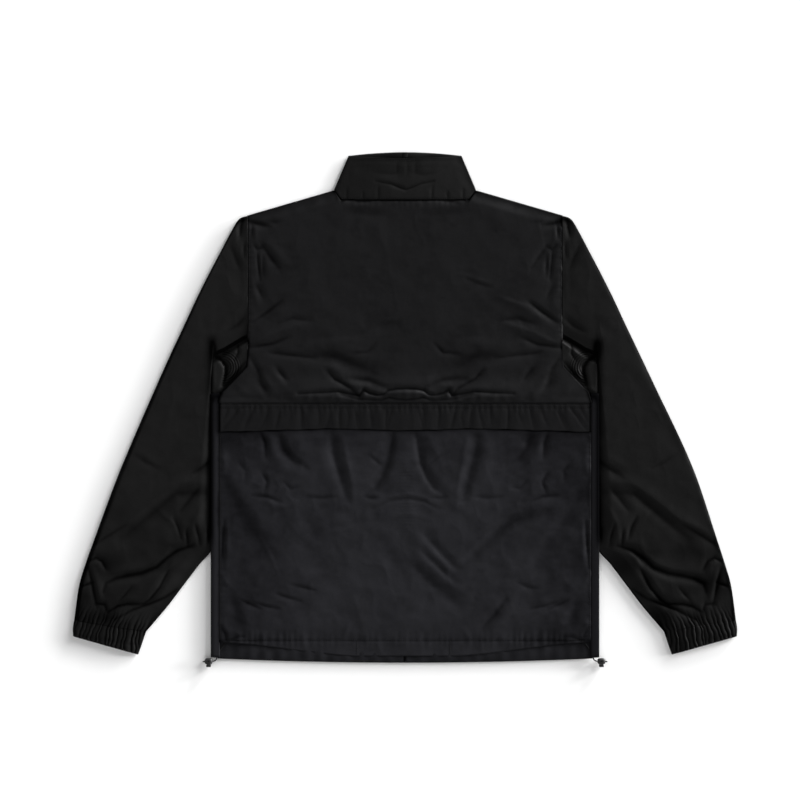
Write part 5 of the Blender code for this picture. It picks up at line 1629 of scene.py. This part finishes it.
class WINDBREAKER_OT_hem_cords(bpy.types.Operator):
    """Make the ends of the elastic hem cord, with their locks and push buttons"""

    bl_idname = "windbreaker.hem_cords"
    bl_label = "Hem cords"

    def execute(self, context):
        hardware = context.scene.windbreaker_hardware
        for name, side in SIDES.items():
            centre, size = node_box(f"cord_lock_{name}")
            lock = rounded_block(f"cord_lock_{name}_body", centre, size, 0.42 * min(size), 6)
            drill(lock, centre, LOCK_BORE_RADIUS, 20.0, math.pi / 2.0)
            drill(lock, (centre[0], centre[1], centre[2] + size[2] / 2.0), LOCK_RECESS_RADIUS, 4.0)
            place_piece(lock, "moulded acetal", f"cord_lock_{name}")
            button = rounded_block(f"lock_button_{name}_body", *node_box(f"lock_button_{name}"), 1.2, 4)
            place_piece(button, "moulded acetal", f"lock_button_{name}")
            route = smooth_path([(side * x, y, z) for x, y, z in CORD_ROUTE], 4) * MM
            curve = bpy.data.curves.new(f"hem_cord_{name}_braid", "CURVE")
            curve.dimensions = "3D"
            curve.bevel_depth = hardware.cord / 2.0
            curve.bevel_resolution = 3
            curve.use_fill_caps = True
            spline = curve.splines.new("POLY")
            spline.points.add(len(route) - 1)
            for knot, point in zip(spline.points, route):
                knot.co = (*point, 1.0)
            cord = bpy.data.objects.new(f"hem_cord_{name}_braid", curve)
            bpy.context.collection.objects.link(cord)
            dress(cord, "braided elastic", f"hem_cord_{name}")
        return {"FINISHED"}


def soft_light(name, azimuth, elevation, spread_angle, strength):
    """Even light from a wide, far source: turned from +X to +Y by its azimuth, and raised, in degrees."""
    data = bpy.data.lights.new(name, "SUN")
    data.energy = strength
    data.angle = math.radians(spread_angle)
    lamp = bpy.data.objects.new(name, data)
    lamp.rotation_euler = (math.radians(90.0 - elevation), 0.0, math.radians(azimuth + 90.0))
    bpy.context.collection.objects.link(lamp)


class WINDBREAKER_OT_stage(bpy.types.Operator):
    """Lay the pale floor, set the lights and hang the camera straight above"""

    bl_idname = "windbreaker.stage"
    bl_label = "Stage"

    def execute(self, context):
        stage = context.scene.windbreaker_stage
        scene = context.scene
        bpy.ops.object.select_all(action="DESELECT")
        bpy.ops.mesh.primitive_plane_add(size=FLOOR_SIZE, location=(0.0, 0.0, FLOOR_Z))
        floor = context.active_object
        floor.name = "floor"
        bpy.ops.object.transform_apply(location=True)
        floor.data.materials.append(finish("pale paper"))
        for number, azimuth in enumerate(LOW_KEY_AZIMUTHS):
            soft_light(f"low key {number + 1}", azimuth, 6.8, 12.0, stage.low_key / len(LOW_KEY_AZIMUTHS))
        soft_light("key", 38.0, 22.0, 24.0, stage.key)
        soft_light("left fill", 165.0, 42.0, 60.0, stage.fill)
        soft_light("low fill", 280.0, 42.0, 60.0, stage.fill)
        world = bpy.data.worlds.new("even sky")
        world.use_nodes = True
        sky = world.node_tree.nodes["Background"]
        sky.inputs["Color"].default_value = (1.0, 1.0, 1.0, 1.0)
        sky.inputs["Strength"].default_value = stage.sky
        scene.world = world
        scene.view_settings.view_transform = "Standard"
        scene.view_settings.look = "None"
        scene.view_settings.exposure = 0.0
        camera_data = bpy.data.cameras.new("overhead camera")
        camera_data.lens = stage.lens
        camera = bpy.data.objects.new("overhead camera", camera_data)
        camera.location = (*VIEW_CENTRE, VIEW_WIDTH * stage.lens / camera_data.sensor_width)
        context.collection.objects.link(camera)
        scene.camera = camera
        return {"FINISHED"}


class WINDBREAKER_PT_sidebar(bpy.types.Panel):
    """Sizes, colours and steps of the windbreaker"""

    bl_label = "Windbreaker"
    bl_idname = "WINDBREAKER_PT_sidebar"
    bl_space_type = "VIEW_3D"
    bl_region_type = "UI"
    bl_category = "Windbreaker"

    def draw(self, context):
        for settings in ("windbreaker_cloth", "windbreaker_hardware", "windbreaker_stage"):
            group = getattr(context.scene, settings)
            box = self.layout.box()
            for name in group.__annotations__:
                box.prop(group, name)
        for operator in OPERATORS:
            self.layout.operator(operator.bl_idname)


OPERATORS = (
    WINDBREAKER_OT_stage,
    WINDBREAKER_OT_hem_cords,
    WINDBREAKER_OT_back,
    WINDBREAKER_OT_collar,
    WINDBREAKER_OT_fronts,
    WINDBREAKER_OT_sleeves,
    WINDBREAKER_OT_cuffs,
    WINDBREAKER_OT_zip,
    WINDBREAKER_OT_stitching,
)
SETTINGS = {
    "windbreaker_cloth": ClothSettings,
    "windbreaker_hardware": HardwareSettings,
    "windbreaker_stage": StageSettings,
}


def register():
    for made in (*SETTINGS.values(), *OPERATORS, WINDBREAKER_PT_sidebar):
        bpy.utils.register_class(made)
    for name, made in SETTINGS.items():
        setattr(bpy.types.Scene, name, bpy.props.PointerProperty(type=made))


def unregister():
    for name in SETTINGS:
        delattr(bpy.types.Scene, name)
    for made in (WINDBREAKER_PT_sidebar, *reversed(OPERATORS), *SETTINGS.values()):
        bpy.utils.unregister_class(made)


def main():
    register()
    for operator in OPERATORS:
        group, step = operator.bl_idname.split(".")
        getattr(getattr(bpy.ops, group), step)()


if __name__ == "__main__":
    main()
